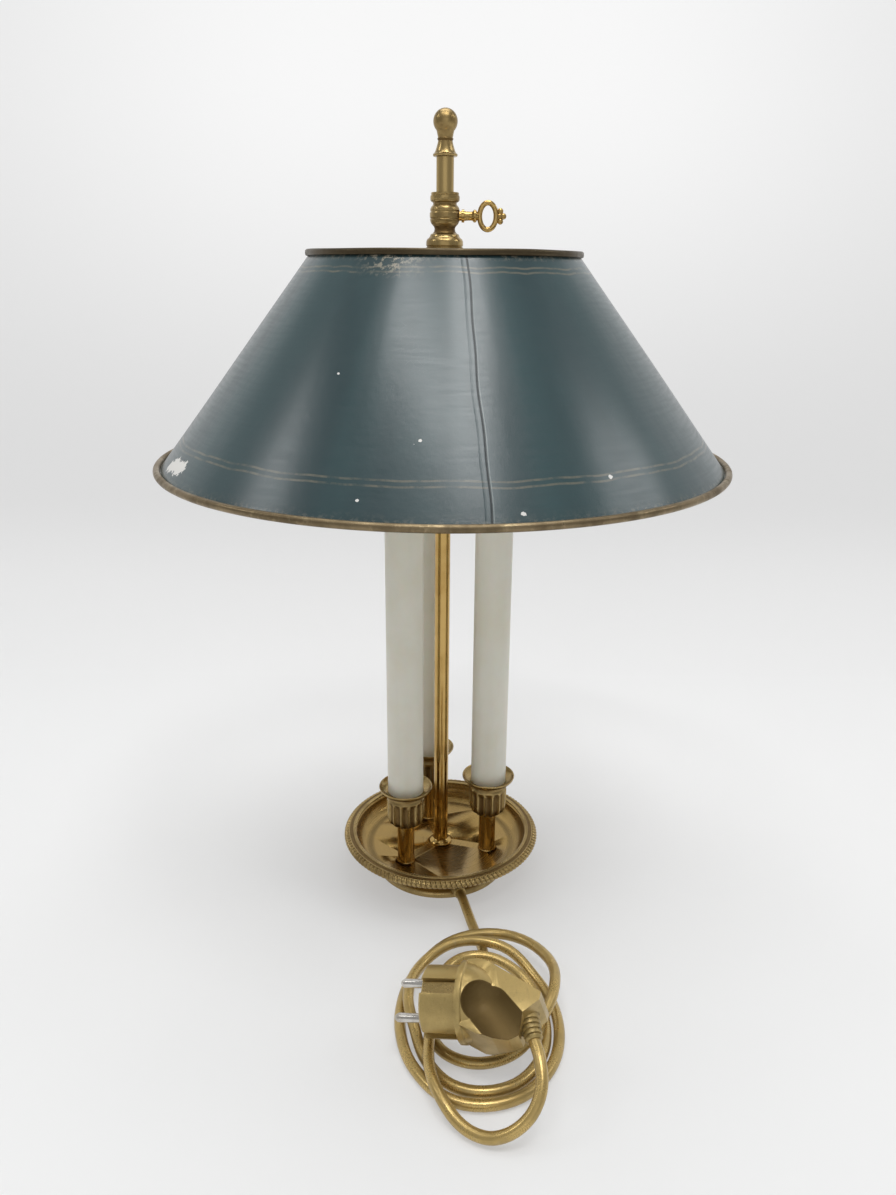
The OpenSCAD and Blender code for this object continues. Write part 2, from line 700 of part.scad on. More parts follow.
module shade() {
    color("darkslategray") {
        turned([
            [shade_low_r - shade_wall_x, shade_z], [shade_low_r, shade_z],
            [shade_top_r, shade_top_z], [shade_top_r - shade_wall_x, shade_top_z]]);
        rotate([0, 0, seam_turn]) translate([shade_low_r, 0, shade_z]) rotate([0, -shade_tilt, 0])
            translate([-0.4, -seam_w / 2, 2.5]) cube([0.9, seam_w, shade_slant - 5]);
    }
}

module shade_top_rim() {
    color("peru") turned([
        [band_in_r, shade_top_z], [band_out_r - 0.6, shade_top_z], [band_out_r, shade_top_z + 0.7],
        [band_out_r, band_top_z - 0.9], [band_out_r - 0.9, band_top_z],
        [band_in_r + 0.6, band_top_z], [band_in_r, band_top_z - 0.6]]);
}

module shade_bottom_rim() {
    bead_r = bottom_bead_d / 2;
    color("peru") rotate_extrude($fn = 96)
        translate([shade_d / 2 - bead_r, shade_z]) circle(r = bead_r - seat_gap / 2, $fn = 32);
}

// ---------------------------------------------------------------- mains lead and plug
module cord_lead() {
    color("goldenrod") cord_tube(0, coil_first_ring);
}

module cord_coil() {
    color("goldenrod") cord_tube(coil_first_ring, coil_last_ring);
}

module cord_tail() {
    color("goldenrod") cord_tube(coil_last_ring, line_last);
}

// puts a child, drawn with the pins along +X and one above the other in Z, in place
module at_plug() {
    translate(plug_at) rotate(plug_pose) children();
}

// a child drawn along -Z from the origin points out of the cable's end
module at_cable_end() {
    translate(sleeve_end) rotate([0, cable_lean, 0]) children();
}

// a tapered sleeve with three rings cut round its free end
module plug_cable_sleeve() {
    step = (cable_sleeve_r - cable_sleeve_end_r) / cable_sleeve_l;
    ring_at = [2, 5, 8];
    color("darkgoldenrod") at_plug() at_cable_end() turned(concat(
        [[0, 0], [cable_sleeve_end_r, 0]],
        [for (h = ring_at, t = [[0, 0], [0.4, -0.7], [1.2, -0.7], [1.6, 0]])
            [cable_sleeve_end_r + step * (h + t[0]) + t[1], h + t[0]]],
        [[cable_sleeve_r, cable_sleeve_l], [0, cable_sleeve_l]]));
}

// flange, dome and a flat grip that turns down to the cable, with a finger scoop each side
module plug_housing() {
    z1 = flange_r - 2.5;
    grip = [
        [flange_x + 0.2, z1 - 0.5], [flange_x - 5, z1], [flange_x - 10, z1 - 0.8],
        [flange_x - 15, z1 - 3.5], [flange_x - 41, 1], [flange_x - 40.5, -3], [flange_x - 32, -10],
        [flange_x - 30, -19.5], [flange_x - 25, -22], [flange_x - 17, -22.3],
        [flange_x - 9, -21.5], [flange_x + 0.2, -z1 + 1]];
    color("goldenrod") at_plug() difference() {
        union() {
            translate([flange_x, 0, 0]) rotate([0, -90, 0]) turned([
                [0, -flange_t], [flange_r, -flange_t], [flange_r, 0], [flange_r - 1, 0.6],
                [flange_r - 1.6, 4], [flange_r - 3.4, 9], [grip_half + 1.5, 14.5], [0, 16]]);
            rotate([90, 0, 0]) linear_extrude(height = 2 * grip_half, center = true) polygon(grip);
        }
        for (s = [-1, 1]) translate([flange_x - 14.5, s * (grip_half + scoop_r - scoop_depth), -8])
            rotate([0, 45, 0])
                turned(concat([[0, -60], [scoop_r, -60]], arc_pts([0, 0], scoop_r, 0, 90, 8)));
        at_cable_end() translate([0, 0, -1]) cylinder(r1 = cable_sleeve_end_r,
            r2 = cable_sleeve_r + seat_gap, h = cable_sleeve_l + 1.2);
    }
}

// the round front: a recess for each earth clip and a groove at each end of the pins' line
module plug_face() {
    l = plug_front_l;
    color("goldenrod") at_plug() difference() {
        rotate([0, -90, 0]) turned([
            [0, 0], [face_r - 1, 0], [face_r, 1], [face_r, l], [0, l]]);
        for (s = [-1, 1]) {
            translate([-l - 1, s * (face_r - 1.5) - 3, -4]) cube([l + 2, 6, 8]);
            translate([-l - 1, -3, s * (face_r - 0.5) - 2]) cube([l + 2, 6, 4]);
            translate([-l + 4, 0, s * pin_gap / 2]) rotate([0, 90, 0])
                cylinder(r = pin_r + seat_gap, h = l);
        }
    }
}

module plug_pins() {
    in_l = plug_front_l - 5;
    color("silver") at_plug() for (s = [-1, 1])
        translate([-in_l, 0, s * pin_gap / 2]) rotate([0, 90, 0]) turned([
            [0, 0], [pin_r, 0], [pin_r, in_l + pin_l - 2], [pin_r - 0.8, in_l + pin_l - 0.6],
            [pin_r - 1.6, in_l + pin_l], [0, in_l + pin_l]]);
}

// the two sprung earth contacts, flat strips in the recesses of the front
module plug_earth_clips() {
    l = plug_front_l;
    color("silver") at_plug() for (s = [-1, 1])
        translate([-l + 0.5, s * (face_r - 3.6) - 0.6, -3.2]) cube([l - 1.5, 1.2, 6.4]);
}

felt_pad();
base_foot();
base_weight();
stem_nut();
stem_washer();
terminal_block();
inner_leads();
cord_bushing();
tray();
tray_rim();
stem();
stem_seat();
finial();
post_nuts();
at_candle(0) post();  // post_1
at_candle(1) post();  // post_2
at_candle(2) post();  // post_3
at_candle(0) candle_cup();  // candle_cup_1
at_candle(1) candle_cup();  // candle_cup_2
at_candle(2) candle_cup();  // candle_cup_3
at_candle(0) candle_pipe();  // candle_pipe_1
at_candle(1) candle_pipe();  // candle_pipe_2
at_candle(2) candle_pipe();  // candle_pipe_3
at_candle(0) lampholder();  // lampholder_1
at_candle(1) lampholder();  // lampholder_2
at_candle(2) lampholder();  // lampholder_3
at_candle(0) candle_sleeve();  // candle_sleeve_1
at_candle(1) candle_sleeve();  // candle_sleeve_2
at_candle(2) candle_sleeve();  // candle_sleeve_3
at_candle(0) bulb_cap();  // bulb_cap_1
at_candle(1) bulb_cap();  // bulb_cap_2
at_candle(2) bulb_cap();  // bulb_cap_3
at_candle(0) bulb_glass();  // bulb_glass_1
at_candle(1) bulb_glass();  // bulb_glass_2
at_candle(2) bulb_glass();  // bulb_glass_3
collar();
key_screw();
shade_spider();
shade_ring_nut();
shade();
shade_top_rim();
shade_bottom_rim();
cord_lead();
cord_coil();
cord_tail();
plug_cable_sleeve();
plug_housing();
plug_face();
plug_pins();
plug_earth_clips();
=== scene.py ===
"""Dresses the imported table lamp: brass, painted shade, candle sleeves and mains lead.

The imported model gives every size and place; this script adds the finished shapes of
its pieces, their materials, the soft studio light and the camera of the photograph.
"""
from functools import partialmethod, reduce
from math import atan2, cos, degrees, exp, hypot, pi, radians, sin, sqrt

import bmesh
import bpy
from mathutils import Matrix, Vector


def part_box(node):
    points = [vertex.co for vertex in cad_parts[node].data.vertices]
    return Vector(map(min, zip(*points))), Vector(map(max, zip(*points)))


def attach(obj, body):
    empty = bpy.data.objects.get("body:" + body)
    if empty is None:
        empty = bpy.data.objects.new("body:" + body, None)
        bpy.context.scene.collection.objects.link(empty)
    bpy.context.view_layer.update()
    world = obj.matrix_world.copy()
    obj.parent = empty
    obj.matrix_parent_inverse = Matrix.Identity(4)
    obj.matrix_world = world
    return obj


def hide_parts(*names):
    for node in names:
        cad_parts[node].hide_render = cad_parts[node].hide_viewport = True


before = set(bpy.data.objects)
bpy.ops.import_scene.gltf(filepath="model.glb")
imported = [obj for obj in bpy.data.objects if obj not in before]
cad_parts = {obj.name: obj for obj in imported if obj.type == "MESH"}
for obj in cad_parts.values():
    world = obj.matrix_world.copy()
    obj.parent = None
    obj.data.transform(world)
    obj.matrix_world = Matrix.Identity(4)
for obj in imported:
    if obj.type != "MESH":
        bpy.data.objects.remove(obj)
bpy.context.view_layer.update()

bl_info = {
    "name": "Bouillotte lamp dresser",
    "version": (1, 0, 0),
    "blender": (4, 5, 0),
    "location": "3D View > Sidebar > Lamp",
    "description": "Builds the finished pieces of a three-candle table lamp over its packed model",
    "category": "Object",
}

MM = 0.001
TURN = 2 * pi


# ---- what a user may change
class LampSizes(bpy.types.PropertyGroup):
    """Counts and sizes of the ornament"""

    gadroons: bpy.props.IntProperty(
        name="Gadroons", description="Lobes round the tray's rim", default=128, min=48, max=160
    )
    beads: bpy.props.IntProperty(
        name="Beads", description="Beads on the rim's inner edge", default=210, min=90, max=260
    )
    flutes: bpy.props.IntProperty(
        name="Flutes", description="Flutes round a candle cup", default=14, min=10, max=16
    )
    edge: bpy.props.FloatProperty(
        name="Edge", description="Width of a broken edge", default=0.00025, unit="LENGTH"
    )


def colour(name, text, value):
    return bpy.props.FloatVectorProperty(
        name=name, description=text, subtype="COLOR", size=3, min=0, max=1, default=value
    )


class LampColours(bpy.types.PropertyGroup):
    """Colours of the finishes"""

    polished: colour("Polished brass", "Lacquered stem, posts and tray", (0.54, 0.36, 0.128))
    aged: colour("Aged brass", "Cups, rim, collar and finial", (0.42, 0.305, 0.13))
    patina: colour("Patina", "Brown in the hollows of aged brass", (0.135, 0.078, 0.027))
    bronze: colour("Bronzed rims", "The shade's two rims", (0.25, 0.19, 0.11))
    paint: colour("Shade paint", "Outside of the shade", (0.018, 0.050, 0.058))
    lining: colour("Shade lining", "Inside of the shade", (0.74, 0.71, 0.64))
    ivory: colour("Ivory", "Candle sleeves", (0.77, 0.74, 0.65))
    lead: colour("Lead", "The mains lead's gold sheath", (0.48, 0.34, 0.122))
    plug: colour("Plug", "The plug's gold paint", (0.46, 0.335, 0.125))


def sizes():
    return bpy.context.scene.lamp_sizes


def colours():
    return bpy.context.scene.lamp_colours


# ---- mesh helpers
def raised(rows, height, radius=0):
    """Rows of (radius, height), all moved up by a height and out by a radius"""
    return [(radius + r, height + z) for r, z in rows]


def levels(node):
    """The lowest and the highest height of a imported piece, in millimetres"""
    low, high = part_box(node)
    return low[2] / MM, high[2] / MM


def reach(co):
    """How far a place is from the Z axis, in millimetres"""
    return hypot(co.x, co.y) / MM


def widen(co, scale):
    """Moves a vertex away from the Z axis"""
    co.x *= scale
    co.y *= scale


def polar(radius, turn, height):
    """A place in metres, from a radius and height in millimetres and a direction"""
    return radius * cos(turn) * MM, radius * sin(turn) * MM, height * MM


def way_of(co):
    return atan2(co.y, co.x)


def turn_by(angle, axis):
    return Matrix.Rotation(radians(angle), 4, axis)


def clip(value):
    return min(1.0, max(0.0, value))


def phase(turn, count):
    """From minus one to one across each of so many equal parts of a full turn"""
    return (turn * count / TURN) % 1 * 2 - 1


def turned(rows, steps=96, closed=False, place=None):
    """A bmesh spun round the Z axis from rows of (radius, height) in millimetres"""
    bm = bmesh.new()
    verts = [bm.verts.new((r * MM, 0, z * MM)) for r, z in rows]
    pairs = list(zip(verts, verts[1:]))
    if closed:
        pairs.append((verts[-1], verts[0]))
    bmesh.ops.spin(
        bm, geom=verts + [bm.edges.new(pair) for pair in pairs], cent=(0, 0, 0), axis=(0, 0, 1),
        dvec=(0, 0, 0), angle=TURN, steps=steps, use_merge=True,
    )
    bmesh.ops.remove_doubles(bm, verts=bm.verts, dist=2e-6)
    if place:
        bm.transform(place)
    return bm


def curved(points, steps):
    """A smooth curve through points in any number of dimensions"""
    rows = [Vector(p) for p in points]
    rows = [2 * rows[0] - rows[1]] + rows + [2 * rows[-1] - rows[-2]]
    out = []
    for a, b, c, d in zip(rows, rows[1:], rows[2:], rows[3:]):
        for k in range(steps):
            t = k / steps
            out.append((2 * b + (c - a) * t + (2 * a - 5 * b + 4 * c - d) * t * t
                        + (3 * b - a - 3 * c + d) * t * t * t) / 2)
    return out + [rows[-2]]


def add_to(bm, other, place):
    """Moves another bmesh's faces into bm, to their place"""
    other.transform(place)
    scratch = bpy.data.meshes.new("scratch")
    other.to_mesh(scratch)
    other.free()
    bm.from_mesh(scratch)
    bpy.data.meshes.remove(scratch)


def placed(name, data):
    """A new object, linked into the scene"""
    made = bpy.data.objects.new(name, data)
    bpy.context.collection.objects.link(made)
    return made


def meshed(name, bm, material):
    """A new smooth-shaded object from a bmesh"""
    mesh = bpy.data.meshes.new(name)
    bm.to_mesh(mesh)
    bm.free()
    mesh.shade_smooth()
    mesh.materials.append(material)
    return placed(name, mesh)


def finish(name, bm, material, node, body="stand", sharp=38, edge=0):
    """Makes a bmesh a piece that rides on a body and stands for a CAD node"""
    bmesh.ops.recalc_face_normals(bm, faces=bm.faces)
    piece = meshed(name, bm, material)
    piece.data.set_sharp_from_angle(angle=radians(sharp))
    if edge:
        bevel = piece.modifiers.new("broken edge", "BEVEL")
        bevel.width = edge * sizes().edge
        bevel.segments = 2
        bevel.limit_method = "ANGLE"
        bevel.angle_limit = radians(sharp)
        bevel.harden_normals = True
    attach(piece, body)
    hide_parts(node)
    return piece


def from_frame(node, material, body="stand", sharp=30, edge=1, name=None):
    """A smooth-shaded copy of a CAD node, which stands for it, with its edges broken"""
    bm = bmesh.new()
    bm.from_mesh(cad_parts[node].data)
    bmesh.ops.remove_doubles(bm, verts=bm.verts, dist=1e-6)
    return finish(name or node + "_finished", bm, material, node, body, sharp, edge)


def store(piece, name, value):
    """Writes one number for each vertex, worked out from its place"""
    layer = piece.data.attributes.new(name, "FLOAT", "POINT")
    layer.data.foreach_set("value", [value(v.co) for v in piece.data.vertices])


def candle_place(index):
    """The middle of one candle's foot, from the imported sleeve"""
    low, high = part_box(f"candle_sleeve_{index}")
    return Matrix.Translation(((low[0] + high[0]) / 2, (low[1] + high[1]) / 2, 0))


# ---- material helpers
class Finish:
    """A material being built: its nodes, its links and its shader"""

    def __init__(self, name, base, roughness, metallic=0.0, **sockets):
        self.material = bpy.data.materials.new(name)
        self.material.use_nodes = True
        self.tree = self.material.node_tree
        self.shader = self.tree.nodes["Principled BSDF"]
        self.shader.inputs["Base Color"].default_value = (*base, 1)
        self.shader.inputs["Roughness"].default_value = roughness
        self.shader.inputs["Metallic"].default_value = metallic
        for socket, value in sockets.items():
            self.shader.inputs[socket.replace("_", " ")].default_value = value
        self.place = self.add("ShaderNodeTexCoord").outputs["Object"]

    def add(self, kind, inputs=None, **settings):
        """A node with its settings and what goes into it: other nodes' sockets, or values"""
        node = self.tree.nodes.new(kind)
        for key, value in settings.items():
            setattr(node, key, value)
        for key, value in (inputs or {}).items():
            if isinstance(value, bpy.types.NodeSocket):
                self.link(value, node.inputs[key])
            else:
                node.inputs[key].default_value = value
        return node

    def link(self, out, into):
        self.tree.links.new(out, into)

    def stretched(self, scale, turn=(0, 0, 0), place=None):
        inputs = {"Vector": place or self.place, "Scale": scale, "Rotation": turn}
        return self.add("ShaderNodeMapping", inputs).outputs["Vector"]

    def noise(self, scale, detail=4, roughness=0.55, place=None, distortion=0.0):
        return self.add("ShaderNodeTexNoise", {
            "Vector": place or self.place, "Scale": scale, "Detail": detail,
            "Roughness": roughness, "Distortion": distortion,
        }).outputs["Fac"]

    def cells(self, scale, place=None, feature="F1"):
        inputs = {"Vector": place or self.place, "Scale": scale}
        return self.add("ShaderNodeTexVoronoi", inputs, feature=feature).outputs["Distance"]

    def span(self, value, low, high, to_low=0.0, to_high=1.0):
        inputs = dict(enumerate((value, low, high, to_low, to_high)))
        return self.add("ShaderNodeMapRange", inputs, interpolation_type="SMOOTHSTEP").outputs[0]

    def maths(self, operation, a, b=None, clamp=False):
        inputs = {0: a} if b is None else {0: a, 1: b}
        return self.add("ShaderNodeMath", inputs, operation=operation, use_clamp=clamp).outputs[0]

    def mix(self, factor, a, b):
        """A colour from a to b, where each is a colour or a socket"""
        node = self.add("ShaderNodeMix", {"Factor": factor}, data_type="RGBA", clamp_factor=True)
        for key, value in (("A", a), ("B", b)):
            socket = [s for s in node.inputs if s.name == key and s.type == "RGBA"][0]
            if isinstance(value, bpy.types.NodeSocket):
                self.link(value, socket)
            else:
                socket.default_value = (*value[:3], 1)
        return [s for s in node.outputs if s.type == "RGBA"][0]

    plus = partialmethod(maths, "ADD")
    minus = partialmethod(maths, "SUBTRACT")
    times = partialmethod(maths, "MULTIPLY")
    most = partialmethod(maths, "MAXIMUM")

    def away(self, a, b):
        """How far apart two numbers are"""
        return self.maths("ABSOLUTE", self.minus(a, b))

    def split(self):
        """The three coordinates of the place that is shaded"""
        return self.add("ShaderNodeSeparateXYZ", {0: self.place}).outputs

    def joined(self, x, z=0.0):
        """A place made of a number along X and one along Z"""
        return self.add("ShaderNodeCombineXYZ", {"X": x, "Z": z}).outputs[0]

    def axes(self):
        """Radius from the Z axis, height and the direction round it"""
        x, y, z = self.split()
        square = self.plus(self.times(x, x), self.times(y, y))
        return self.maths("SQRT", square), z, self.maths("ARCTAN2", y, x)

    def vector(self, operation, other):
        """One number from the place that is shaded and another place"""
        inputs = {0: self.place, 1: other}
        return self.add("ShaderNodeVectorMath", inputs, operation=operation).outputs["Value"]

    def attribute(self, name):
        return self.add("ShaderNodeAttribute", attribute_name=name).outputs["Fac"]

    def base(self, out):
        self.link(out, self.shader.inputs["Base Color"])

    def rough(self, out):
        self.link(out, self.shader.inputs["Roughness"])

    def bump(self, height, distance, strength):
        """Adds a bump over those that are there"""
        inputs = {"Height": height, "Distance": distance, "Strength": strength}
        before = self.shader.inputs["Normal"].links
        if before:
            inputs["Normal"] = before[0].from_socket
        self.link(self.add("ShaderNodeBump", inputs).outputs["Normal"], self.shader.inputs["Normal"])


def toned(rgb, *by):
    """A colour times one number, or times one for each channel"""
    return tuple(c * b for c, b in zip(rgb, by if len(by) == 3 else by * 3))


MATERIALS = {}


def recipe(name, rgb, roughness, metallic=0.0, dim=1, **sockets):
    """Turns a function into one that builds its material when it is first asked for"""

    def wrap(dress):
        def made():
            if name not in MATERIALS:
                base = toned(getattr(colours(), rgb) if isinstance(rgb, str) else rgb, dim)
                f = Finish(name, base, roughness, metallic, **sockets)
                dress(f, base)
                MATERIALS[name] = f.material
            return MATERIALS[name]

        return made

    return wrap


# the stem's polish ends between these heights, in metres, and the tray's floor at this radius
POLISH_ENDS = (0.438, 0.446)
TRAY_FLOOR_R = 0.0505


@recipe("polished brass", "polished", 0.14, 1.0)
def polished_brass(f, rgb):
    tarnish = f.span(f.noise(38, 6, 0.6), 0.42, 0.72)
    streaks = f.noise(1, 5, 0.6, f.stretched((260, 260, 14)))
    skin = f.mix(tarnish, rgb, toned(rgb, 0.75, 0.68, 0.55))
    unpolished = f.span(f.split()[2], *POLISH_ENDS)
    f.base(f.mix(unpolished, skin, toned(colours().aged, 1.05)))
    gloss = f.plus(f.span(streaks, 0.35, 0.75, 0.07, 0.2), f.span(tarnish, 0, 1, 0, 0.1))
    f.rough(f.plus(gloss, f.times(unpolished, 0.22)))
    f.bump(streaks, 0.00003, 0.5)


@recipe("tray brass", "polished", 0.2, 1.0, dim=0.76)
def tray_brass(f, rgb):
    """Polished and spun: rings round the stem, brown tarnish spreading from the wall, and painted
    shade in the corner round its floor
    """
    radius = f.axes()[0]
    rings = f.noise(1, 3, 0.7, f.joined(f.times(radius, 900)))
    cloud = f.span(f.noise(30, 5, 0.62), 0.4, 0.7)
    wall = f.span(radius, 0.046, 0.058)
    tarnish = f.times(cloud, f.plus(0.35, f.times(wall, 0.5)))
    skin = f.mix(f.span(rings, 0.35, 0.65, 0, 0.4), rgb, toned(rgb, 0.72))
    # painted shade: a darker copy of the brass in the corner where the floor meets the wall
    corner_shade = f.span(f.away(radius, TRAY_FLOOR_R), 0.0006, 0.0035, 0.7, 0)
    skin = f.mix(corner_shade, skin, toned(rgb, 0.35))
    f.base(f.mix(tarnish, skin, (0.3, 0.205, 0.08)))
    f.rough(f.plus(f.span(rings, 0.3, 0.7, 0.19, 0.28), f.times(tarnish, 0.1)))
    f.bump(rings, 0.00006, 0.7)


@recipe("aged brass", "aged", 0.4, 1.0)
def aged_brass(f, rgb):
    """Bright where it is rubbed, with brown dirt in its clouds, specks and hollows"""
    cloud = f.span(f.noise(55, 6, 0.65), 0.38, 0.7)
    specks = f.span(f.noise(420, 3, 0.6), 0.55, 0.72)
    hollow = f.span(f.attribute("hollow"), 0.15, 0.95)
    dirt = f.most(f.times(cloud, 0.5), f.times(hollow, 0.92))
    dirt = f.maths("ADD", dirt, f.times(specks, 0.18), clamp=True)
    worn = f.span(f.noise(24, 4), 0.55, 0.8, 0, 0.5)
    bright = f.mix(worn, rgb, toned(rgb, 1.45, 1.4, 1.25))
    f.base(f.mix(dirt, bright, colours().patina))
    f.rough(f.plus(0.25, f.times(dirt, 0.28)))
    f.bump(f.noise(900, 3, 0.6), 0.00005, 0.5)


@recipe("key brass", "polished", 0.22, 1.0)
def key_brass(f, rgb):
    cloud = f.span(f.noise(160, 5, 0.6), 0.42, 0.72)
    f.base(f.mix(cloud, toned(rgb, 0.95), toned(rgb, 0.62)))
    f.rough(f.span(cloud, 0, 1, 0.18, 0.34))
    f.bump(f.noise(700, 3), 0.00006, 0.5)


@recipe("bronzed rim", "bronze", 0.42, 1.0)
def bronzed_rim(f, rgb):
    """Dull bronze, rubbed in places; the top rim is painted darker than the bead below, as painted
    shade
    """
    cloud = f.span(f.noise(48, 6, 0.65), 0.36, 0.7)
    rubbed = f.span(f.noise(170, 4, 0.7), 0.5, 0.72)
    dull = f.mix(cloud, rgb, toned(rgb, 0.6))
    skin = f.mix(f.times(rubbed, 0.5), dull, (0.42, 0.34, 0.2))
    # painted shade: above 0.38 m, on the top rim, the bronze is darkened
    f.base(f.mix(f.span(f.split()[2], 0.38, 0.4, 0, 0.9), skin, toned(rgb, 0.28)))
    f.rough(f.minus(f.span(cloud, 0, 1, 0.36, 0.55), f.times(rubbed, 0.1)))
    f.bump(f.noise(620, 4, 0.65), 0.00008, 0.6)


# the shade's outside in millimetres: radius and height of its foot, radius of its top, its rise
# and how much its radius shrinks for each millimetre of height
SHADE_FOOT_R, SHADE_FOOT_Z = 170.6, 294.5
SHADE_TOP_R, SHADE_RISE = 79.5, 118.7
SHADE_SLOPE = 0.7675
SEAM_TURN = radians(-82.2)
# how the seam wavers up the cone, as (speed, size in millimetres)
WAVER = ((9.0, 0.45), (23.0, 0.25))
# heights of the gilt lines, in metres
GILT_LINES = (0.3102, 0.3127, 0.4049, 0.4072)
# chips through the paint, as (direction in degrees, height in mm, size in mm)
CHIPS = (
    (-157.4, 300.5, 5.0), (-156.0, 301.2, 5.6), (-154.6, 301.8, 5.8), (-153.2, 302.4, 5.8),
    (-151.8, 302.9, 5.8), (-150.4, 303.4, 5.6), (-149.0, 303.9, 5.2), (-155.4, 303.6, 4.6),
    (-153.9, 304.3, 4.6), (-151.4, 301.0, 4.8), (-150.0, 301.8, 4.6), (-58.4, 311.2, 1.7),
    (-76.6, 299.2, 1.7), (-103.8, 304.2, 1.2), (-94.0, 329.5, 1.1), (-114.7, 356.9, 1.0),
    (-95.1, 328.0, 0.6), (38.0, 318.0, 1.6), (96.0, 300.5, 2.2), (141.0, 352.0, 0.9),
)


def gilt_lines(f, height, place):
    """Two pairs of thin worn lines that wobble a little round the cone"""
    wobble = f.noise(1, 2, 0.5, f.stretched((3.5, 1, 0), place=place))
    level = f.plus(height, f.span(wobble, 0.3, 0.7, -0.0006, 0.0006))
    lines = [f.span(f.away(level, middle), 0.0003, 0.0006, 1, 0) for middle in GILT_LINES]
    worn = f.span(f.noise(90, 4, 0.7), 0.3, 0.62)
    return f.times(reduce(f.most, lines), f.times(worn, 0.6))


def painted_lap_light(f, radius, height, turn, outer):
    """The lap's painted shadow line, and the painted highlight on its edge in the lower part"""
    rise = f.maths("DIVIDE", f.minus(height, SHADE_FOOT_Z * MM), SHADE_RISE * MM)
    swings = [f.times(f.maths("SINE", f.times(rise, speed)), size * MM) for speed, size in WAVER]
    across = f.minus(f.times(f.minus(turn, SEAM_TURN), radius), reduce(f.plus, swings))
    lap_shadow = f.span(f.away(across, 0.0007), 0.0004, 0.0008, 1, 0)
    lap_highlight = f.span(f.away(across, 0.0017), 0.0001, 0.0005, 0.5, 0)
    lap_highlight = f.times(lap_highlight, f.span(rise, 0.35, 0.75, 1, 0.2))
    return f.times(lap_shadow, outer), f.times(lap_highlight, outer)


def chipped(f):
    """One where the paint is chipped through to its white ground"""
    near = []
    for way, middle, size in CHIPS:
        radius = SHADE_FOOT_R - (middle - SHADE_FOOT_Z) * SHADE_SLOPE
        away = f.vector("DISTANCE", polar(radius, radians(way), middle))
        near.append(f.minus(1.2, f.maths("DIVIDE", away, size * MM)))
    ragged = f.plus(reduce(f.most, near), f.span(f.noise(520, 4, 0.7), 0.3, 0.7, -0.25, 0.25))
    return f.span(ragged, 0.5, 0.58)


@recipe("shade paint", "paint", 0.36, Coat_Weight=0.3, Coat_Roughness=0.2)
def shade_paint(f, paint):
    """Brushed gloss paint outside with fine gilt lines, chips and scratches, and a painted shadow and
    highlight at its lap seam; pale inside
    """
    radius, height, turn = f.axes()
    place = f.joined(turn, height)
    inside = f.span(f.attribute("inside"), 0.4, 0.6)
    # broad soft bands that run up the cone, and fine brush marks that run round it
    broad = f.noise(1, 3, 0.5, f.stretched((2.2, 1, 3), place=place), 0.3)
    fine = f.noise(1, 3, 0.5, f.stretched((6, 1, 620), place=place))
    cloud = f.noise(26, 5, 0.6)
    lifted = f.mix(f.span(broad, 0.3, 0.7), toned(paint, 0.72), toned(paint, 1.5, 1.28, 1.2))
    skin = f.mix(f.span(fine, 0.35, 0.75, 0, 0.25), lifted, toned(paint, 0.8))
    skin = f.mix(f.span(cloud, 0.5, 0.8, 0, 0.3), skin, (0.035, 0.078, 0.082))
    skin = f.mix(gilt_lines(f, height, place), skin, (0.17, 0.155, 0.11))
    # the lap seam's painted shadow line and painted highlight
    lap_shadow, lap_highlight = painted_lap_light(f, radius, height, turn, f.minus(1.0, inside))
    skin = f.mix(lap_highlight, skin, (0.2, 0.24, 0.24))
    skin = f.mix(f.times(lap_shadow, 0.9), skin, toned(paint, 0.2))
    # a worn patch at the top edge, and the chips
    rub = f.times(f.attribute("rub"), f.span(f.noise(330, 5, 0.75), 0.5, 0.58))
    skin = f.mix(f.times(rub, 0.9), skin, (0.46, 0.41, 0.31))
    bare = chipped(f)
    skin = f.mix(bare, skin, (0.72, 0.71, 0.68))
    # hair scratches
    slanted = f.stretched((38, 1, 210), turn=(0, 0.5, 0), place=place)
    scratch = f.span(f.cells(1, slanted, "DISTANCE_TO_EDGE"), 0.002, 0.008, 1, 0)
    scratch = f.times(scratch, f.span(f.noise(16, 2), 0.58, 0.66))
    skin = f.mix(f.times(scratch, 0.2), skin, (0.2, 0.24, 0.24))
    lining = colours().lining
    within = f.mix(f.span(f.noise(34, 5), 0.35, 0.75), lining, toned(lining, 0.82))
    f.base(f.mix(inside, skin, within))
    gloss = f.plus(f.span(fine, 0.3, 0.7, 0.29, 0.35), f.times(inside, 0.25))
    f.rough(f.plus(gloss, f.plus(f.times(bare, 0.3), f.times(lap_shadow, 0.3))))
    f.bump(broad, 0.0012, 0.5)
    f.bump(fine, 0.00002, 0.5)
    f.bump(f.minus(f.noise(210, 4, 0.6), bare), 0.00012, 0.6)


@recipe("ivory plastic", "ivory", 0.36, 0.0, Subsurface_Weight=0.12, Subsurface_Scale=0.004)
def ivory_plastic(f, rgb):
    drawn = f.noise(1, 4, 0.6, f.stretched((120, 120, 9)))
    cloud = f.noise(30, 4, 0.55)
    tint = f.mix(f.span(cloud, 0.35, 0.75), rgb, toned(rgb, 0.95, 0.94, 0.89))
    f.base(f.mix(f.span(drawn, 0.45, 0.8, 0, 0.5), tint, toned(rgb, 0.93)))
    f.rough(f.span(drawn, 0.3, 0.7, 0.3, 0.44))
    f.bump(drawn, 0.00006, 0.6)


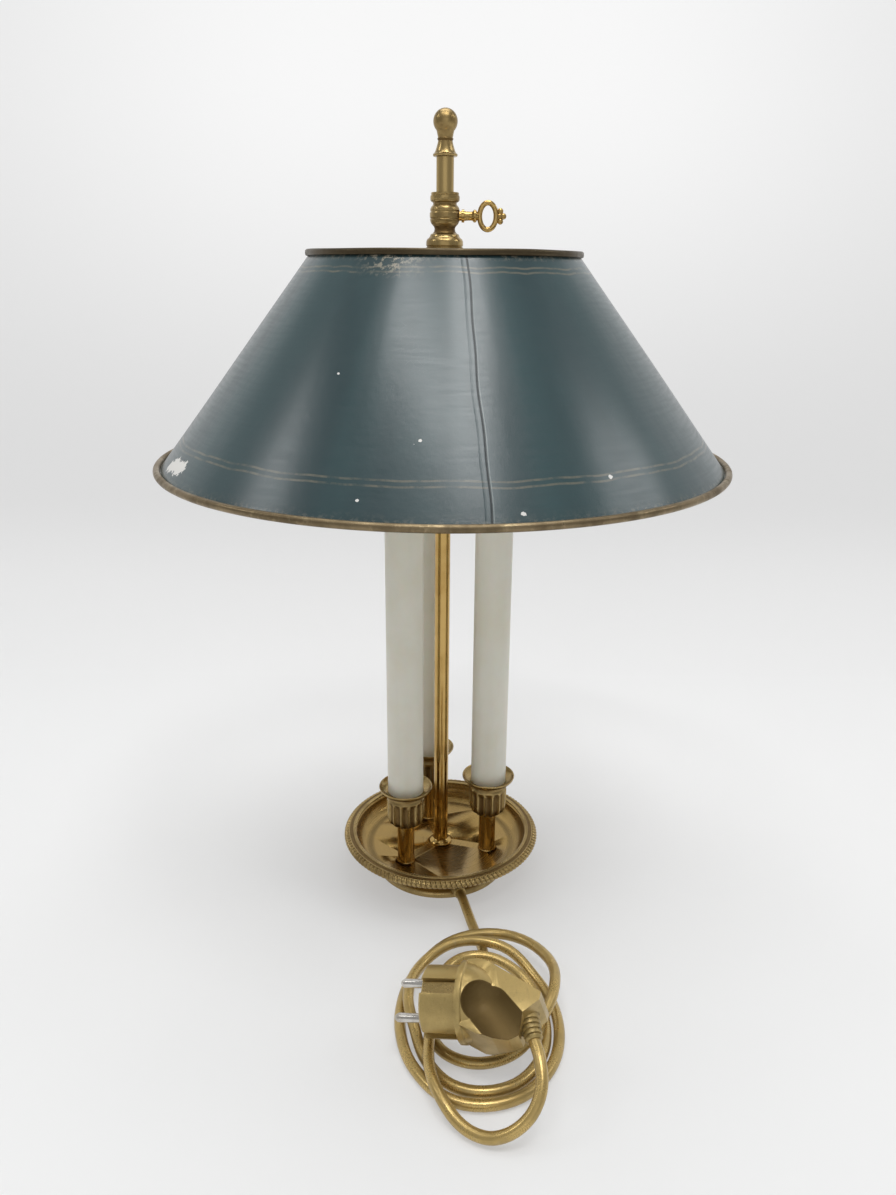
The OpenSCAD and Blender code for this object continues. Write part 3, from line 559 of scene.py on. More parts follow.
@recipe("gold sheath", "lead", 0.34, 0.7, Coat_Weight=0.2, Coat_Roughness=0.25)
def lead_sheath(f, rgb):
    """Gold plastic sheath, clouded, finely grained and a little dusty"""
    cloud = f.span(f.noise(60, 5, 0.6), 0.35, 0.72)
    grain = f.noise(1300, 3, 0.6)
    dust = f.span(f.noise(260, 4, 0.7), 0.55, 0.75)
    skin = f.mix(cloud, toned(rgb, 1.12, 1.12, 1.1), toned(rgb, 0.82))
    f.base(f.mix(f.times(dust, 0.25), skin, (0.5, 0.44, 0.3)))
    f.rough(f.plus(f.span(cloud, 0, 1, 0.27, 0.38), f.span(grain, 0.3, 0.7, -0.03, 0.04)))
    f.bump(grain, 0.00002, 0.4)
    f.bump(f.noise(140, 3), 0.00012, 0.3)


def scoop_shade_mask(f):
    """Where shade is painted on the plug: one on the skin of its two finger scoops, else nothing"""
    local = [f.plus(f.vector("DOT_PRODUCT", row[:3]), row[3]) for row in PLUG_PLACE.inverted()[:3]]
    local[1] = f.maths("ABSOLUTE", local[1])
    x, y, z = [f.minus(value, at * MM) for value, at in zip(local, SCOOP_AT)]
    half = sqrt(0.5)
    across = f.times(f.minus(x, z), half)
    beyond = f.most(f.times(f.plus(x, z), half), 0.0)
    square = reduce(f.plus, [f.times(part, part) for part in (y, across, beyond)])
    return f.span(f.maths("SQRT", square), (SCOOP_R + 0.1) * MM, (SCOOP_R + 0.4) * MM, 1, 0)


@recipe("gold lacquer", "plug", 0.36, 0.7, Coat_Weight=0.08, Coat_Roughness=0.35)
def plug_paint(f, rgb):
    """Metallic gold lacquer on moulded plastic, with painted shade in its scoops"""
    cloud = f.span(f.noise(48, 5, 0.6), 0.35, 0.72)
    flakes = f.cells(2600)
    scuffs = f.noise(1, 5, 0.7, f.stretched((300, 90, 260), turn=(0.4, 0.7, 0.2)))
    scuffs = f.span(scuffs, 0.58, 0.72)
    skin = f.mix(cloud, toned(rgb, 1.1, 1.1, 1.12), toned(rgb, 0.8))
    skin = f.mix(f.span(flakes, 0.1, 0.5, 0.12, 0), skin, (0.8, 0.68, 0.4))
    skin = f.mix(f.times(scuffs, 0.3), skin, toned(rgb, 0.5))
    # painted shade: the finger scoops are painted dark brown, and made rougher
    painted_scoop_shade = scoop_shade_mask(f)
    f.base(f.mix(f.times(painted_scoop_shade, 0.9), skin, (0.11, 0.066, 0.016)))
    gloss = f.plus(f.span(cloud, 0, 1, 0.3, 0.42), f.times(scuffs, 0.08))
    f.rough(f.plus(gloss, f.times(painted_scoop_shade, 0.2)))
    f.bump(f.noise(1100, 3, 0.6), 0.00005, 0.5)
    f.bump(f.noise(120, 3), 0.00025, 0.3)


@recipe("gold moulding", "plug", 0.42, 0.5, dim=0.85)
def gold_ribs(f, rgb):
    f.base(f.mix(f.span(f.noise(400, 4), 0.4, 0.7), rgb, toned(rgb, 0.65)))
    f.bump(f.noise(900, 3), 0.00006, 0.5)


@recipe("white moulding", (0.78, 0.77, 0.73), 0.5)
def white_plastic(f, rgb):
    f.base(f.mix(f.span(f.noise(90, 4), 0.4, 0.8), rgb, (0.7, 0.68, 0.62)))
    f.bump(f.noise(1500, 2), 0.00004, 0.6)


@recipe("zinc steel", (0.55, 0.55, 0.54), 0.35, 1.0)
def zinc_steel(f, _):
    cloud = f.span(f.noise(120, 5), 0.4, 0.7)
    f.base(f.mix(cloud, (0.58, 0.58, 0.57), (0.38, 0.36, 0.32)))
    f.rough(f.span(cloud, 0, 1, 0.28, 0.45))
    f.bump(f.noise(900, 3), 0.00004, 0.5)


@recipe("wire insulation", (0.16, 0.075, 0.03), 0.5)
def brown_wire(f, _):
    f.base(f.mix(f.span(f.noise(300, 4), 0.4, 0.7), (0.17, 0.08, 0.035), (0.1, 0.045, 0.02)))
    f.bump(f.noise(1400, 3), 0.00005, 0.5)


@recipe("nickel plate", (0.66, 0.64, 0.6), 0.22, 1.0)
def nickel(f, _):
    cloud = f.span(f.noise(150, 5), 0.4, 0.7)
    f.base(f.mix(cloud, (0.68, 0.66, 0.62), (0.5, 0.46, 0.4)))
    f.rough(f.span(cloud, 0, 1, 0.16, 0.3))
    f.bump(f.noise(1, 4, 0.6, f.stretched((1800, 200, 1800))), 0.00002, 0.5)


@recipe("cast iron", (0.12, 0.12, 0.12), 0.7, 0.4)
def cast_iron(f, _):
    f.base(f.mix(f.span(f.noise(80, 5), 0.4, 0.7), (0.14, 0.135, 0.13), (0.16, 0.09, 0.05)))
    f.bump(f.noise(500, 5, 0.7), 0.0002, 0.8)


@recipe("green felt", (0.03, 0.1, 0.06), 0.95, 0.0, Sheen_Weight=0.4, Sheen_Roughness=0.6)
def green_felt(f, _):
    fibre = f.noise(1600, 6, 0.75)
    f.base(f.mix(f.span(fibre, 0.3, 0.7), (0.02, 0.07, 0.045), (0.05, 0.14, 0.09)))
    f.bump(fibre, 0.0004, 0.9)


@recipe("opal glass", (0.86, 0.85, 0.82), 0.16, 0.0, Transmission_Weight=0.35, IOR=1.45)
def opal_glass(f, _):
    f.base(f.mix(f.span(f.noise(60, 4), 0.35, 0.75), (0.88, 0.87, 0.84), (0.82, 0.8, 0.75)))
    f.rough(f.span(f.noise(200, 3), 0.3, 0.7, 0.12, 0.24))
    f.bump(f.noise(90, 2), 0.0001, 0.2)


# ---- stage, light and camera
# the photo's height and the lens, in pixels; the camera's place in metres and turns in degrees
PHOTO_PX, LENS_PX = 1195, 943.9
CAMERA_AT = (0.0038, -0.58905, 0.40542)
CAMERA_DOWN, CAMERA_ROLL = 19.07, 0.513
# the paper in metres: its front edge, where it bends up, the bend's radius, its top and width
PAPER_FRONT, PAPER_BACK, PAPER_BEND, PAPER_TOP, PAPER_WIDE = -3.0, 0.33, 0.16, 0.9, 9
# the world's strength as a light, and where the camera sees it
WORLD_LIGHT, WORLD_SEEN = 0.38, 0.85
# name, place, aim, size in metres, power in watts, turn in degrees
LIGHTS = (
    ("left window", (-1.78, -0.15, 1.7), (-1.78, -0.15, 0), (0.65, 0.5), 5.2, 0),
    ("right window", (1.98, 0.2, 1.7), (1.98, 0.2, 0), (1.3, 0.35), 6.8, 46),
    ("top panel", (0.0, 0.55, 2.3), (0, 0, 0.2), (1.6, 0.9), 17, 0),
    ("front panel", (0.27, -0.58, 1.7), (0.27, -0.58, 0), (0.4, 0.62), 6.8, 0),
    ("front strip", (-0.27, -0.52, 1.7), (-0.27, -0.52, 0), (0.7, 0.16), 4.2, -33),
    ("front fill", (0.0, -2.6, 1.0), (0, 0, 0.2), (2.6, 1.6), 7, 0),
)


@recipe("backdrop paper", (0.80, 0.80, 0.80), 0.9)
def backdrop(f, white):
    """Near white where the camera or a reflection sees it, and plain paper to the light"""
    f.base(f.mix(f.span(f.noise(1.1, 3), 0.3, 0.7), white, (0.775, 0.78, 0.78)))
    x, _, z = f.split()
    # painted light and shade in the glow: a bright middle above, a little greyer at the sides and
    # where the paper bends
    side = f.span(f.maths("ABSOLUTE", x), 0.12, 0.62, 0, 0.16)
    side = f.times(side, f.span(z, 0.15, 0.6))
    rising = f.minus(f.span(z, 0.17, 0.6, 0.74, 0.99), side)
    glow = f.add("ShaderNodeEmission")
    f.link(f.plus(rising, f.span(z, 0.005, 0.16, 0.18, 0)), glow.inputs["Strength"])
    rays = f.add("ShaderNodeLightPath").outputs
    seen = f.most(f.most(rays["Is Camera Ray"], rays["Is Glossy Ray"]), rays["Is Transmission Ray"])
    # from behind or below, the camera looks through the paper at the lamp
    back = f.add("ShaderNodeNewGeometry").outputs["Backfacing"]
    skin = f.shader.outputs[0]
    for share, over in (
        (f.times(seen, f.span(z, 0.0, 0.16, 0.4, 0.85)), glow),
        (f.times(back, rays["Is Camera Ray"]), f.add("ShaderNodeBsdfTransparent")),
    ):
        mixed = f.add("ShaderNodeMixShader")
        for out, into in zip((share, skin, over.outputs[0]), mixed.inputs):
            f.link(out, into)
        skin = mixed.outputs[0]
    end = [n for n in f.tree.nodes if n.type == "OUTPUT_MATERIAL"][0]
    f.link(skin, end.inputs["Surface"])


def studio_world():
    """White light all round, brighter where the camera looks into it"""
    world = bpy.data.worlds.new("studio")
    world.use_nodes = True
    nodes, links = world.node_tree.nodes, world.node_tree.links
    background = nodes["Background"]
    background.inputs["Color"].default_value = (1, 1, 1, 1)
    rays = nodes.new("ShaderNodeLightPath").outputs
    strength = nodes.new("ShaderNodeMapRange")
    strength.inputs["To Min"].default_value = WORLD_LIGHT
    strength.inputs["To Max"].default_value = WORLD_SEEN
    links.new(rays["Is Camera Ray"], strength.inputs["Value"])
    links.new(strength.outputs[0], background.inputs["Strength"])
    return world


def soft_box(name, place, aim, size, power, turn):
    data = bpy.data.lights.new(name, "AREA")
    data.shape = "RECTANGLE"
    data.size, data.size_y = size
    data.energy = power
    lamp = placed(name, data)
    lamp.location = place
    aimed = (Vector(aim) - Vector(place)).to_track_quat("-Z", "Y").to_matrix()
    lamp.rotation_euler = (aimed @ Matrix.Rotation(radians(turn), 3, "Z")).to_euler()


def seamless_paper():
    """A floor that curves up into a wall"""
    bm = bmesh.new()
    turns = [radians(9 * k) for k in range(11)]
    rows = [(PAPER_FRONT, 0.0)]
    rows += [(PAPER_BACK + PAPER_BEND * sin(a), PAPER_BEND - PAPER_BEND * cos(a)) for a in turns]
    rows += [(PAPER_BACK + PAPER_BEND, PAPER_TOP)]
    verts = [bm.verts.new((-PAPER_WIDE / 2, y, z)) for y, z in rows]
    edges = [bm.edges.new(pair) for pair in zip(verts, verts[1:])]
    grown = bmesh.ops.extrude_edge_only(bm, edges=edges)
    moved = [g for g in grown["geom"] if isinstance(g, bmesh.types.BMVert)]
    bmesh.ops.translate(bm, verts=moved, vec=(PAPER_WIDE, 0, 0))
    bm.normal_update()
    if min(bm.faces, key=lambda face: face.calc_center_median().y).normal.z < 0:
        bmesh.ops.reverse_faces(bm, faces=bm.faces)
    return meshed("paper", bm, backdrop())


class LAMP_OT_stage(bpy.types.Operator):
    """Sets up the camera, the seamless paper and the soft light"""

    bl_idname = "lamp.stage"
    bl_label = "Stage and camera"

    def execute(self, context):
        data = bpy.data.cameras.new("photo camera")
        data.sensor_fit = "VERTICAL"
        data.sensor_height = 36
        data.lens = LENS_PX / PHOTO_PX * data.sensor_height
        data.clip_start = 0.01
        camera = placed("photo camera", data)
        camera.matrix_world = (
            Matrix.Translation(CAMERA_AT)
            @ turn_by(90 - CAMERA_DOWN, "X")
            @ turn_by(CAMERA_ROLL, "Z")
        )
        context.scene.camera = camera
        seamless_paper()
        context.scene.world = studio_world()
        for light in LIGHTS:
            soft_box(*light)
        context.scene.view_settings.view_transform = "Standard"
        return {"FINISHED"}


# ---- mains lead and plug
# the lead's thickness, in metres, and the steps of its curves
LEAD_THICK = 0.0064
CURVE_STEPS = 6
# in millimetres: its middle's height on the table, where it leaves the foot, and its first run
CORD_Z = 3.4
EXIT_TURN = radians(-75)
EXIT_WAY = Vector((cos(EXIT_TURN), sin(EXIT_TURN), 0))
EXIT_POINT = 53 * EXIT_WAY + Vector((0, 0, 8))
LEAD_POINTS = [
    EXIT_POINT, EXIT_POINT + 8 * EXIT_WAY, (18.5, -68.5, 6.2), (22, -81, 4.2),
    (25.5, -93, CORD_Z), (28, -105, CORD_Z), (26.5, -117.5, CORD_Z), (20, -128.5, CORD_Z),
    (11, -137.5, CORD_Z), (3.4, -147, CORD_Z), (-1.6, -157, CORD_Z),
]
# the coil: distance from its middle and height at each step round it, in degrees
COIL_AT = (25, -160)
COIL_TURN = -165
COIL_STEP = 30
COIL_TABLE = [
    (29.8, CORD_Z), (32, CORD_Z), (32, CORD_Z), (30.5, CORD_Z), (30.5, 5), (34, 12),
    (43.5, 17.2), (57, 14), (66, 10.6), (61, 10), (53.5, 4.5), (47.5, CORD_Z),
    (46.8, CORD_Z), (51.5, CORD_Z), (58.5, CORD_Z), (57, CORD_Z), (50, CORD_Z), (44.5, CORD_Z),
    (43.2, 3.5), (46.4, 5.2), (54.5, 10.8), (54, 14), (50, 10.8), (43.6, 10.6),
    (39, 6.4), (43, 3.5), (50, CORD_Z), (49, CORD_Z), (42.5, CORD_Z), (37, CORD_Z),
    (35.6, 4), (38, 7.6), (42, 10.8),
]
# from the coil's end, round behind it and up to the plug
TAIL_POINTS = [
    (25.8, -116.6, 11.2), (16.3, -117.8, 11.2), (8.2, -123.2, 10.8), (3, -131.6, 10.4),
    (0.2, -142, 10.3), (-1.2, -153, 10.3), (-2.6, -164, 10.4), (-3.8, -175, 10.5),
    (-4.4, -186, 10.6), (-4.2, -197.5, 10.6), (-2, -209, 10.4), (2.8, -219.6, 8.8),
    (9.6, -228.8, 5.6), (18, -235.8, 4.4), (28, -239.8, 5.6), (38.6, -239.8, 10.3),
    (47.4, -235.8, 17.4), (52.2, -227.8, 25.1),
]
PLUG_PLACE = (
    Matrix.Translation((-0.005, -0.1775, 0.032))
    @ turn_by(167, "Z")
    @ turn_by(10, "Y")
    @ turn_by(66, "X")
)
# in the plug's own frame: the sleeve's end, the way the cable leaves it and the finger scoops
SLEEVE_END = Vector((-60, 0, -19))
CABLE_LEAN = radians(20.5)
CABLE_WAY = Vector((-sin(CABLE_LEAN), 0, -cos(CABLE_LEAN)))
SCOOP_AT = Vector((-37.5, 21, -8))
SCOOP_R = 14


def lead_line():
    """Points along the middle of the whole lead, in metres"""
    coil = []
    for index, (out, height) in enumerate(curved(COIL_TABLE, CURVE_STEPS)):
        a = radians(COIL_TURN + COIL_STEP * index / CURVE_STEPS)
        coil.append(Vector((COIL_AT[0] + out * cos(a), COIL_AT[1] + out * sin(a), height)))
    plug_end = PLUG_PLACE @ (SLEEVE_END * MM) / MM
    plug_way = PLUG_PLACE.to_3x3() @ CABLE_WAY
    # each run is led by the next one's points, which are then left off
    start = curved(LEAD_POINTS + [coil[0], coil[CURVE_STEPS]], CURVE_STEPS)[:-CURVE_STEPS - 1]
    tail = [coil[-3], coil[-1]] + TAIL_POINTS + [plug_end + 10 * plug_way, plug_end]
    return [p * MM for p in start + coil[:-1] + curved(tail, CURVE_STEPS)[CURVE_STEPS:]]


class LAMP_OT_mains_lead(bpy.types.Operator):
    """Lays the gold mains lead from the foot, through its coil, to the plug"""

    bl_idname = "lamp.mains_lead"
    bl_label = "Mains lead"

    def execute(self, context):
        points = lead_line()
        data = bpy.data.curves.new("mains_lead", "CURVE")
        data.dimensions = "3D"
        data.bevel_depth = LEAD_THICK / 2
        data.bevel_resolution = 5
        data.use_fill_caps = True
        spline = data.splines.new("POLY")
        spline.points.add(len(points) - 1)
        for point, place in zip(spline.points, points):
            point.co = (*place, 1)
        spline.use_smooth = True
        data.materials.append(lead_sheath())
        lead = placed("mains_lead", data)
        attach(lead, "stand")
        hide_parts("cord_lead", "cord_coil", "cord_tail")
        return {"FINISHED"}


class LAMP_OT_plug(bpy.types.Operator):
    """Builds the angled plug: body, round front, cable sleeve, pins and earth clips"""

    bl_idname = "lamp.plug"
    bl_label = "Plug"

    def execute(self, context):
        from_frame("plug_housing", plug_paint(), sharp=28, edge=4, name="plug_body")
        from_frame("plug_face", plug_paint(), sharp=28, edge=2, name="plug_front")
        # the sleeve widens towards the plug, with four moulded rings at its cable end
        rows = [(0, 0), (3.9, 0), (4.5, 0.5)]
        for k in range(4):
            h = 1.2 + 2.5 * k
            rows += raised([(0, 0), (-0.8, 0.3), (-0.8, 1.1), (0.1, 1.4)], h, 4.6 + 2.4 * h / 20)
        rows += [(7, 20), (0, 20)]
        lean = Matrix.Translation(SLEEVE_END * MM) @ Matrix.Rotation(CABLE_LEAN, 4, "Y")
        finish("plug_sleeve", turned(rows, 64, place=PLUG_PLACE @ lean), gold_ribs(),
               "plug_cable_sleeve")
        from_frame("plug_pins", nickel(), name="plug_pin_pair")
        from_frame("plug_earth_clips", aged_brass(), name="plug_clips")
        return {"FINISHED"}


# ---- foot and tray
# a dark line runs round the foot at this height, this far up and down, in metres
FOOT_LINE, FOOT_LINE_HALF = 0.0085, 0.004


class LAMP_OT_foot(bpy.types.Operator):
    """Finishes the spun foot, its felt and weight, and the fittings inside it"""

    bl_idname = "lamp.foot"
    bl_label = "Foot"

    def execute(self, context):
        foot = from_frame("base_foot", aged_brass())
        store(foot, "hollow", lambda co: max(0.0, 1 - abs(co.z - FOOT_LINE) / FOOT_LINE_HALF) * 0.7)
        for node, material, slot, edge in (
            ("felt_pad", green_felt(), "felt", 2),
            ("base_weight", cast_iron(), "iron", 1),
            ("cord_bushing", plug_paint(), "gold_plastic", 1),
            ("terminal_block", white_plastic(), "white_plastic", 1),
            ("inner_leads", brown_wire(), "wire_brown", 0),
            ("stem_nut", zinc_steel(), "steel", 1),
            ("stem_washer", zinc_steel(), "steel", 1),
            ("post_nuts", zinc_steel(), "steel", 1),
        ):
            from_frame(node, material, edge=edge)
        return {"FINISHED"}


# millimetres: the cast rim's width, how deep its lobes are cut, and a bead's radius
RIM_WIDE = 8.6
LOBE_DEPTH = 1.15
BEAD_R = 0.62
# how far the lobes turn for each millimetre of height
LOBE_LEAN = 0.006


class LAMP_OT_tray(bpy.types.Operator):
    """Finishes the dished tray, and spins the cast rim with its gadroons and beads"""

    bl_idname = "lamp.tray"
    bl_label = "Tray and rim"

    def execute(self, context):
        from_frame("tray", tray_brass(), sharp=40, edge=0)
        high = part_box("tray_rim")[1]
        outer, top = high[0] / MM, high[2] / MM
        inner = outer - RIM_WIDE
        count, beads = sizes().gadroons, sizes().beads
        profile = raised([
            (1.5, -5.2), (1.5, -1.4), (0, -1.4), (0, -0.45), (0.5, -0.1), (2.2, -0.15), (2.5, -0.75),
            (4.4, -1.0), (4.8, -0.55), (5.4, -0.55),
        ], top, inner)
        profile += raised([(-2.9, -1.05)], top, outer)
        profile += curved(raised([
            (-2.6, -0.9), (-1.1, -1.6), (-0.3, -2.7), (0, -3.6), (-0.25, -4.4), (-1.2, -5.1),
            (-3.4, -5.5),
        ], top, outer), 3)
        bm = turned(profile, count * 6, closed=True)

        def lobe(co):
            # the lobes lean a little, as twisted rope does
            return phase(way_of(co) + (co.z / MM - top) * LOBE_LEAN, count)

        def hollow(co):
            radius = reach(co)
            if inner + 2.4 < radius < inner + 4.7:
                return 0.75
            return min(1.0, abs(lobe(co)) ** 3) if radius > outer - 3.2 else 0.15

        for v in bm.verts:
            radius = reach(v.co)
            depth = clip((radius - (outer - 3.3)) / 0.8)
            if depth:
                across = lobe(v.co)
                drop = LOBE_DEPTH * depth * (1 - sqrt(max(0.0, 1 - across * across)))
                widen(v.co, (radius - drop) / radius)
                v.co.z -= 0.7 * drop * clip((v.co.z / MM - top + 3.6) / 1.6) * MM
        for k in range(beads):
            bead = bmesh.new()
            bmesh.ops.create_icosphere(bead, subdivisions=1, radius=BEAD_R * MM)
            turn = Matrix.Rotation(TURN * k / beads, 4, "Z")
            add_to(bm, bead, turn @ Matrix.Translation(((inner + 1.35) * MM, 0, (top - 0.4) * MM)))
        rim = finish("gadrooned_rim", bm, aged_brass(), "tray_rim", sharp=50)
        store(rim, "hollow", hollow)
        return {"FINISHED"}


# ---- stem, candles and bulbs
# millimetres: the stem's radius below and inside the finial, and the radius of the finial's ball
STEM_R, STEM_TIP_R = 5.0, 4.0
FINIAL_BALL = 6.9


class LAMP_OT_stem(bpy.types.Operator):
    """Turns and polishes the stem, polishes its seat and turns the finial"""

    bl_idname = "lamp.stem"
    bl_label = "Stem and finial"

    def execute(self, context):
        foot, end = levels("stem")
        base, tip = levels("finial")
        rows = [(0, foot), (STEM_R, foot), (STEM_R, base - 0.2), (STEM_TIP_R, base),
                (STEM_TIP_R, end), (0, end)]
        finish("stem_polished", turned(rows), polished_brass(), "stem")
        from_frame("stem_seat", polished_brass())

        bell = raised([(7.0, 1.2), (6.3, 1.7), (5.6, 3.0), (4.9, 5), (4.35, 7)], base)
        ball = [(FINIAL_BALL * cos(a), tip - FINIAL_BALL + FINIAL_BALL * sin(a))
                for a in [radians(d) for d in range(-44, 90, 6)]]
        rows = (
            raised([(0, 0), (6.7, 0), (7.0, 0.4)], base) + curved(bell, 4)
            + raised([(4.1, 8.2), (4.5, 8.8), (4.55, 9.3), (4.2, 9.7)], base) + ball + [(0, tip)]
        )
        finial = finish("finial_turned", turned(rows), aged_brass(), "finial")
        store(finial, "hollow", lambda co: max(0.0, 1 - abs(co.z / MM - (base + 8.6)) / 1.6))
        return {"FINISHED"}


# millimetres: from a cup's foot to the top of its flutes and to its neck, and its core's radius
FLUTES_HIGH, NECK_HIGH = 22.5, 26
CUP_CORE_R = 8
FLUTE_DEPTH = 1.75


def cup_mesh(place, foot):
    """A cast cup with hollow flutes that run out at a scalloped skirt, and a flared lip"""
    count = sizes().flutes
    neck = foot + NECK_HIGH
    body = [(9.0, 2.2), (10.6, 3.4), (11.9, 4.8), (12.5, 6.6), (12.8, 9), (12.8, 13), (12.8, 18),
            (12.75, 20.5), (12.4, 21.8), (11.7, 22.9)]
    lip = [(11.6, -2.2), (11.9, -0.9), (13.6, 0.2), (15.8, 1.2), (17.2, 2.6), (17.9, 3.9)]
    dish = [(17.2, 4.6), (16.3, 3.3), (15.0, 2.3), (13.6, 1.7)]
    rows = (
        raised([(5.15, 0), (6.0, 0), (6.2, 1.0)], foot)
        + curved(raised(body, foot), 3) + curved(raised(lip, neck), 3)
        + raised([(18.0, 4.5), (17.75, 5.0)], neck) + curved(raised(dish, neck), 3)
        + raised([(12.15, 1.5), (12.15, 0.9), (5.15, 0.9)], neck)
    )
    bm = turned(rows, count * 12, closed=True)
    for v in bm.verts:
        radius, height = reach(v.co), v.co.z / MM - foot
        if radius < CUP_CORE_R or height > FLUTES_HIGH:
            continue
        # a round hollow between two narrow fillets, deepest below and closed above
        across = phase(way_of(v.co), count)
        hollow = sqrt(max(0.0, 1 - (across / 0.8) ** 2)) if abs(across) < 0.8 else 0.0
        run_out = clip((21.2 - height) / 3.0) ** 0.6
        widen(v.co, (radius - FLUTE_DEPTH * hollow * run_out) / radius)
        if height < 6:
            v.co.z += 1.6 * hollow * MM * (1 - height / 6)
    bm.transform(place)
    return bm


class LAMP_OT_candles(bpy.types.Operator):
    """Stands three candles on their posts: cups, sleeves and what is inside them"""

    bl_idname = "lamp.candles"
    bl_label = "Candles"

    def execute(self, context):
        foot = levels("candle_cup_1")[0]
        for i in (1, 2, 3):
            place = candle_place(i)
            middle = place.translation

            def hollow(co):
                radius = hypot(co.x - middle.x, co.y - middle.y) / MM
                height = co.z / MM - foot
                if height > FLUTES_HIGH or radius < CUP_CORE_R:
                    return 0.55 if 22 < height < 24.5 else 0.12
                return clip((12.6 - radius) / 1.4) * 0.85

            low, high = levels(f"post_{i}")
            rows = [(5.1, low), (6.1, low), (6.3, low + 0.5), (5.8, low + 1.2), (5.8, high),
                    (5.1, high)]
            finish(f"post_polished_{i}", turned(rows, 64, True, place), polished_brass(),
                   f"post_{i}")
            cup = finish(f"fluted_cup_{i}", cup_mesh(place, foot), aged_brass(),
                         f"candle_cup_{i}", sharp=55)
            store(cup, "hollow", hollow)
            low, high = levels(f"candle_sleeve_{i}")
            rows = [(10.8, low), (12.0, low), (12.0, high - 0.5), (11.8, high - 0.1), (11.5, high),
                    (11.1, high), (10.8, high - 0.4)]
            finish(f"sleeve_ivory_{i}", turned(rows, 96, True, place), ivory_plastic(),
                   f"candle_sleeve_{i}")
            from_frame(f"candle_pipe_{i}", zinc_steel())
            from_frame(f"lampholder_{i}", white_plastic())
        return {"FINISHED"}


# a bulb's outline, as (radius in millimetres, share of its height), and its wall
BULB = ((8.0, 0), (9.6, 0.05), (13.4, 0.16), (16.4, 0.29), (17.4, 0.40), (16.6, 0.54), (13.4, 0.69),
        (8.3, 0.84), (3.8, 0.94), (1.0, 0.99), (0.0, 1))
BULB_WALL = 0.7


class LAMP_OT_bulbs(bpy.types.Operator):
    """Fits the three opal candle bulbs and their caps"""

    bl_idname = "lamp.bulbs"
    bl_label = "Bulbs"

    def execute(self, context):
        for i in (1, 2, 3):
            low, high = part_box(f"bulb_glass_{i}")
            base, tall = low[2] / MM, (high[2] - low[2]) / MM
            outline = curved([(r, base + share * tall) for r, share in BULB], 4)
            outline = [(max(0.0, r), min(base + tall, z)) for r, z in outline]
            wall = [(max(0.0, r - BULB_WALL), z - (BULB_WALL if r < 4 else 0.0))
                    for r, z in outline[::-1]]
            bm = turned(outline + wall, 64, True, candle_place(i))
            finish(f"opal_bulb_{i}", bm, opal_glass(), f"bulb_glass_{i}")
            from_frame(f"bulb_cap_{i}", nickel())
        return {"FINISHED"}


# ---- collar, key and shade
# millimetres: the collar above its spigot, its bore's radius, and the heights of its two cut lines
COLLAR_HIGH = 31
COLLAR_BORE = 5.05
COLLAR_LINES = (17.0, 20.9)


class LAMP_OT_carrier(bpy.types.Operator):
    """Turns the sliding collar with its ring lines, and finishes the nut and arms under it"""

    bl_idname = "lamp.carrier"
    bl_label = "Collar and arms"

    def execute(self, context):
        spigot, top = levels("collar")
        base = top - COLLAR_HIGH
        swell = [(7.0, 13.4), (8.0, 14.6), (8.55, 16.2), (8.72, 18), (8.75, 19.6), (8.6, 21.6),
                 (8.0, 23.2), (7.0, 24.4)]
        rows = [(COLLAR_BORE, spigot), (7.4, spigot)]
        rows += raised([
            (7.4, 0), (10.8, 0), (10.8, 1.3), (10.3, 1.7), (10.3, 2.0), (10.8, 2.4), (10.75, 4.6),
            (10.2, 5.9), (9.2, 6.6), (8.5, 7.6), (8.3, 8.4), (7.0, 9.1), (6.2, 10.1), (5.9, 11.4),
            (6.2, 12.6),
        ], base)
        rows += curved(raised(swell, base), 4)
        rows += raised([
            (6.75, 24.9), (6.9, 25.6), (8.1, 26.3), (8.45, 27.0), (8.5, 28.6), (8.3, 29.4),
            (7.9, 29.6), (7.9, 29.9), (8.1, 30.2), (7.9, 31), (COLLAR_BORE, 31),
        ], base)
        bm = turned(rows, closed=True)
        for v in bm.verts:
            height = v.co.z / MM - base
            if reach(v.co) > 7.6 and min(abs(height - line) for line in COLLAR_LINES) < 0.35:
                widen(v.co, 0.955)
        collar = finish("collar_turned", bm, aged_brass(), "collar", "collar", sharp=40)
        store(collar, "hollow", lambda co: clip((8.0 - reach(co)) / 2))
        for node, body in (("shade_ring_nut", "collar"), ("shade_spider", "shade")):
            piece = from_frame(node, aged_brass(), body)
            store(piece, "hollow", lambda co: 0.2)
        return {"FINISHED"}


# millimetres: the key's bow is an oval of wire, its crown three lobes at (x, z) round a knob
BOW_X, BOW_WIDE, BOW_TALL = 24.9, 4.75, 7.25
BOW_WIRE, BOW_FLAT = 1.5, 1.25
LOBES = ((32.1, 2.75), (32.1, -2.75), (33.9, 0))
LOBE_R, KNOB_X, KNOB_R = 1.75, 31.7, 1.7


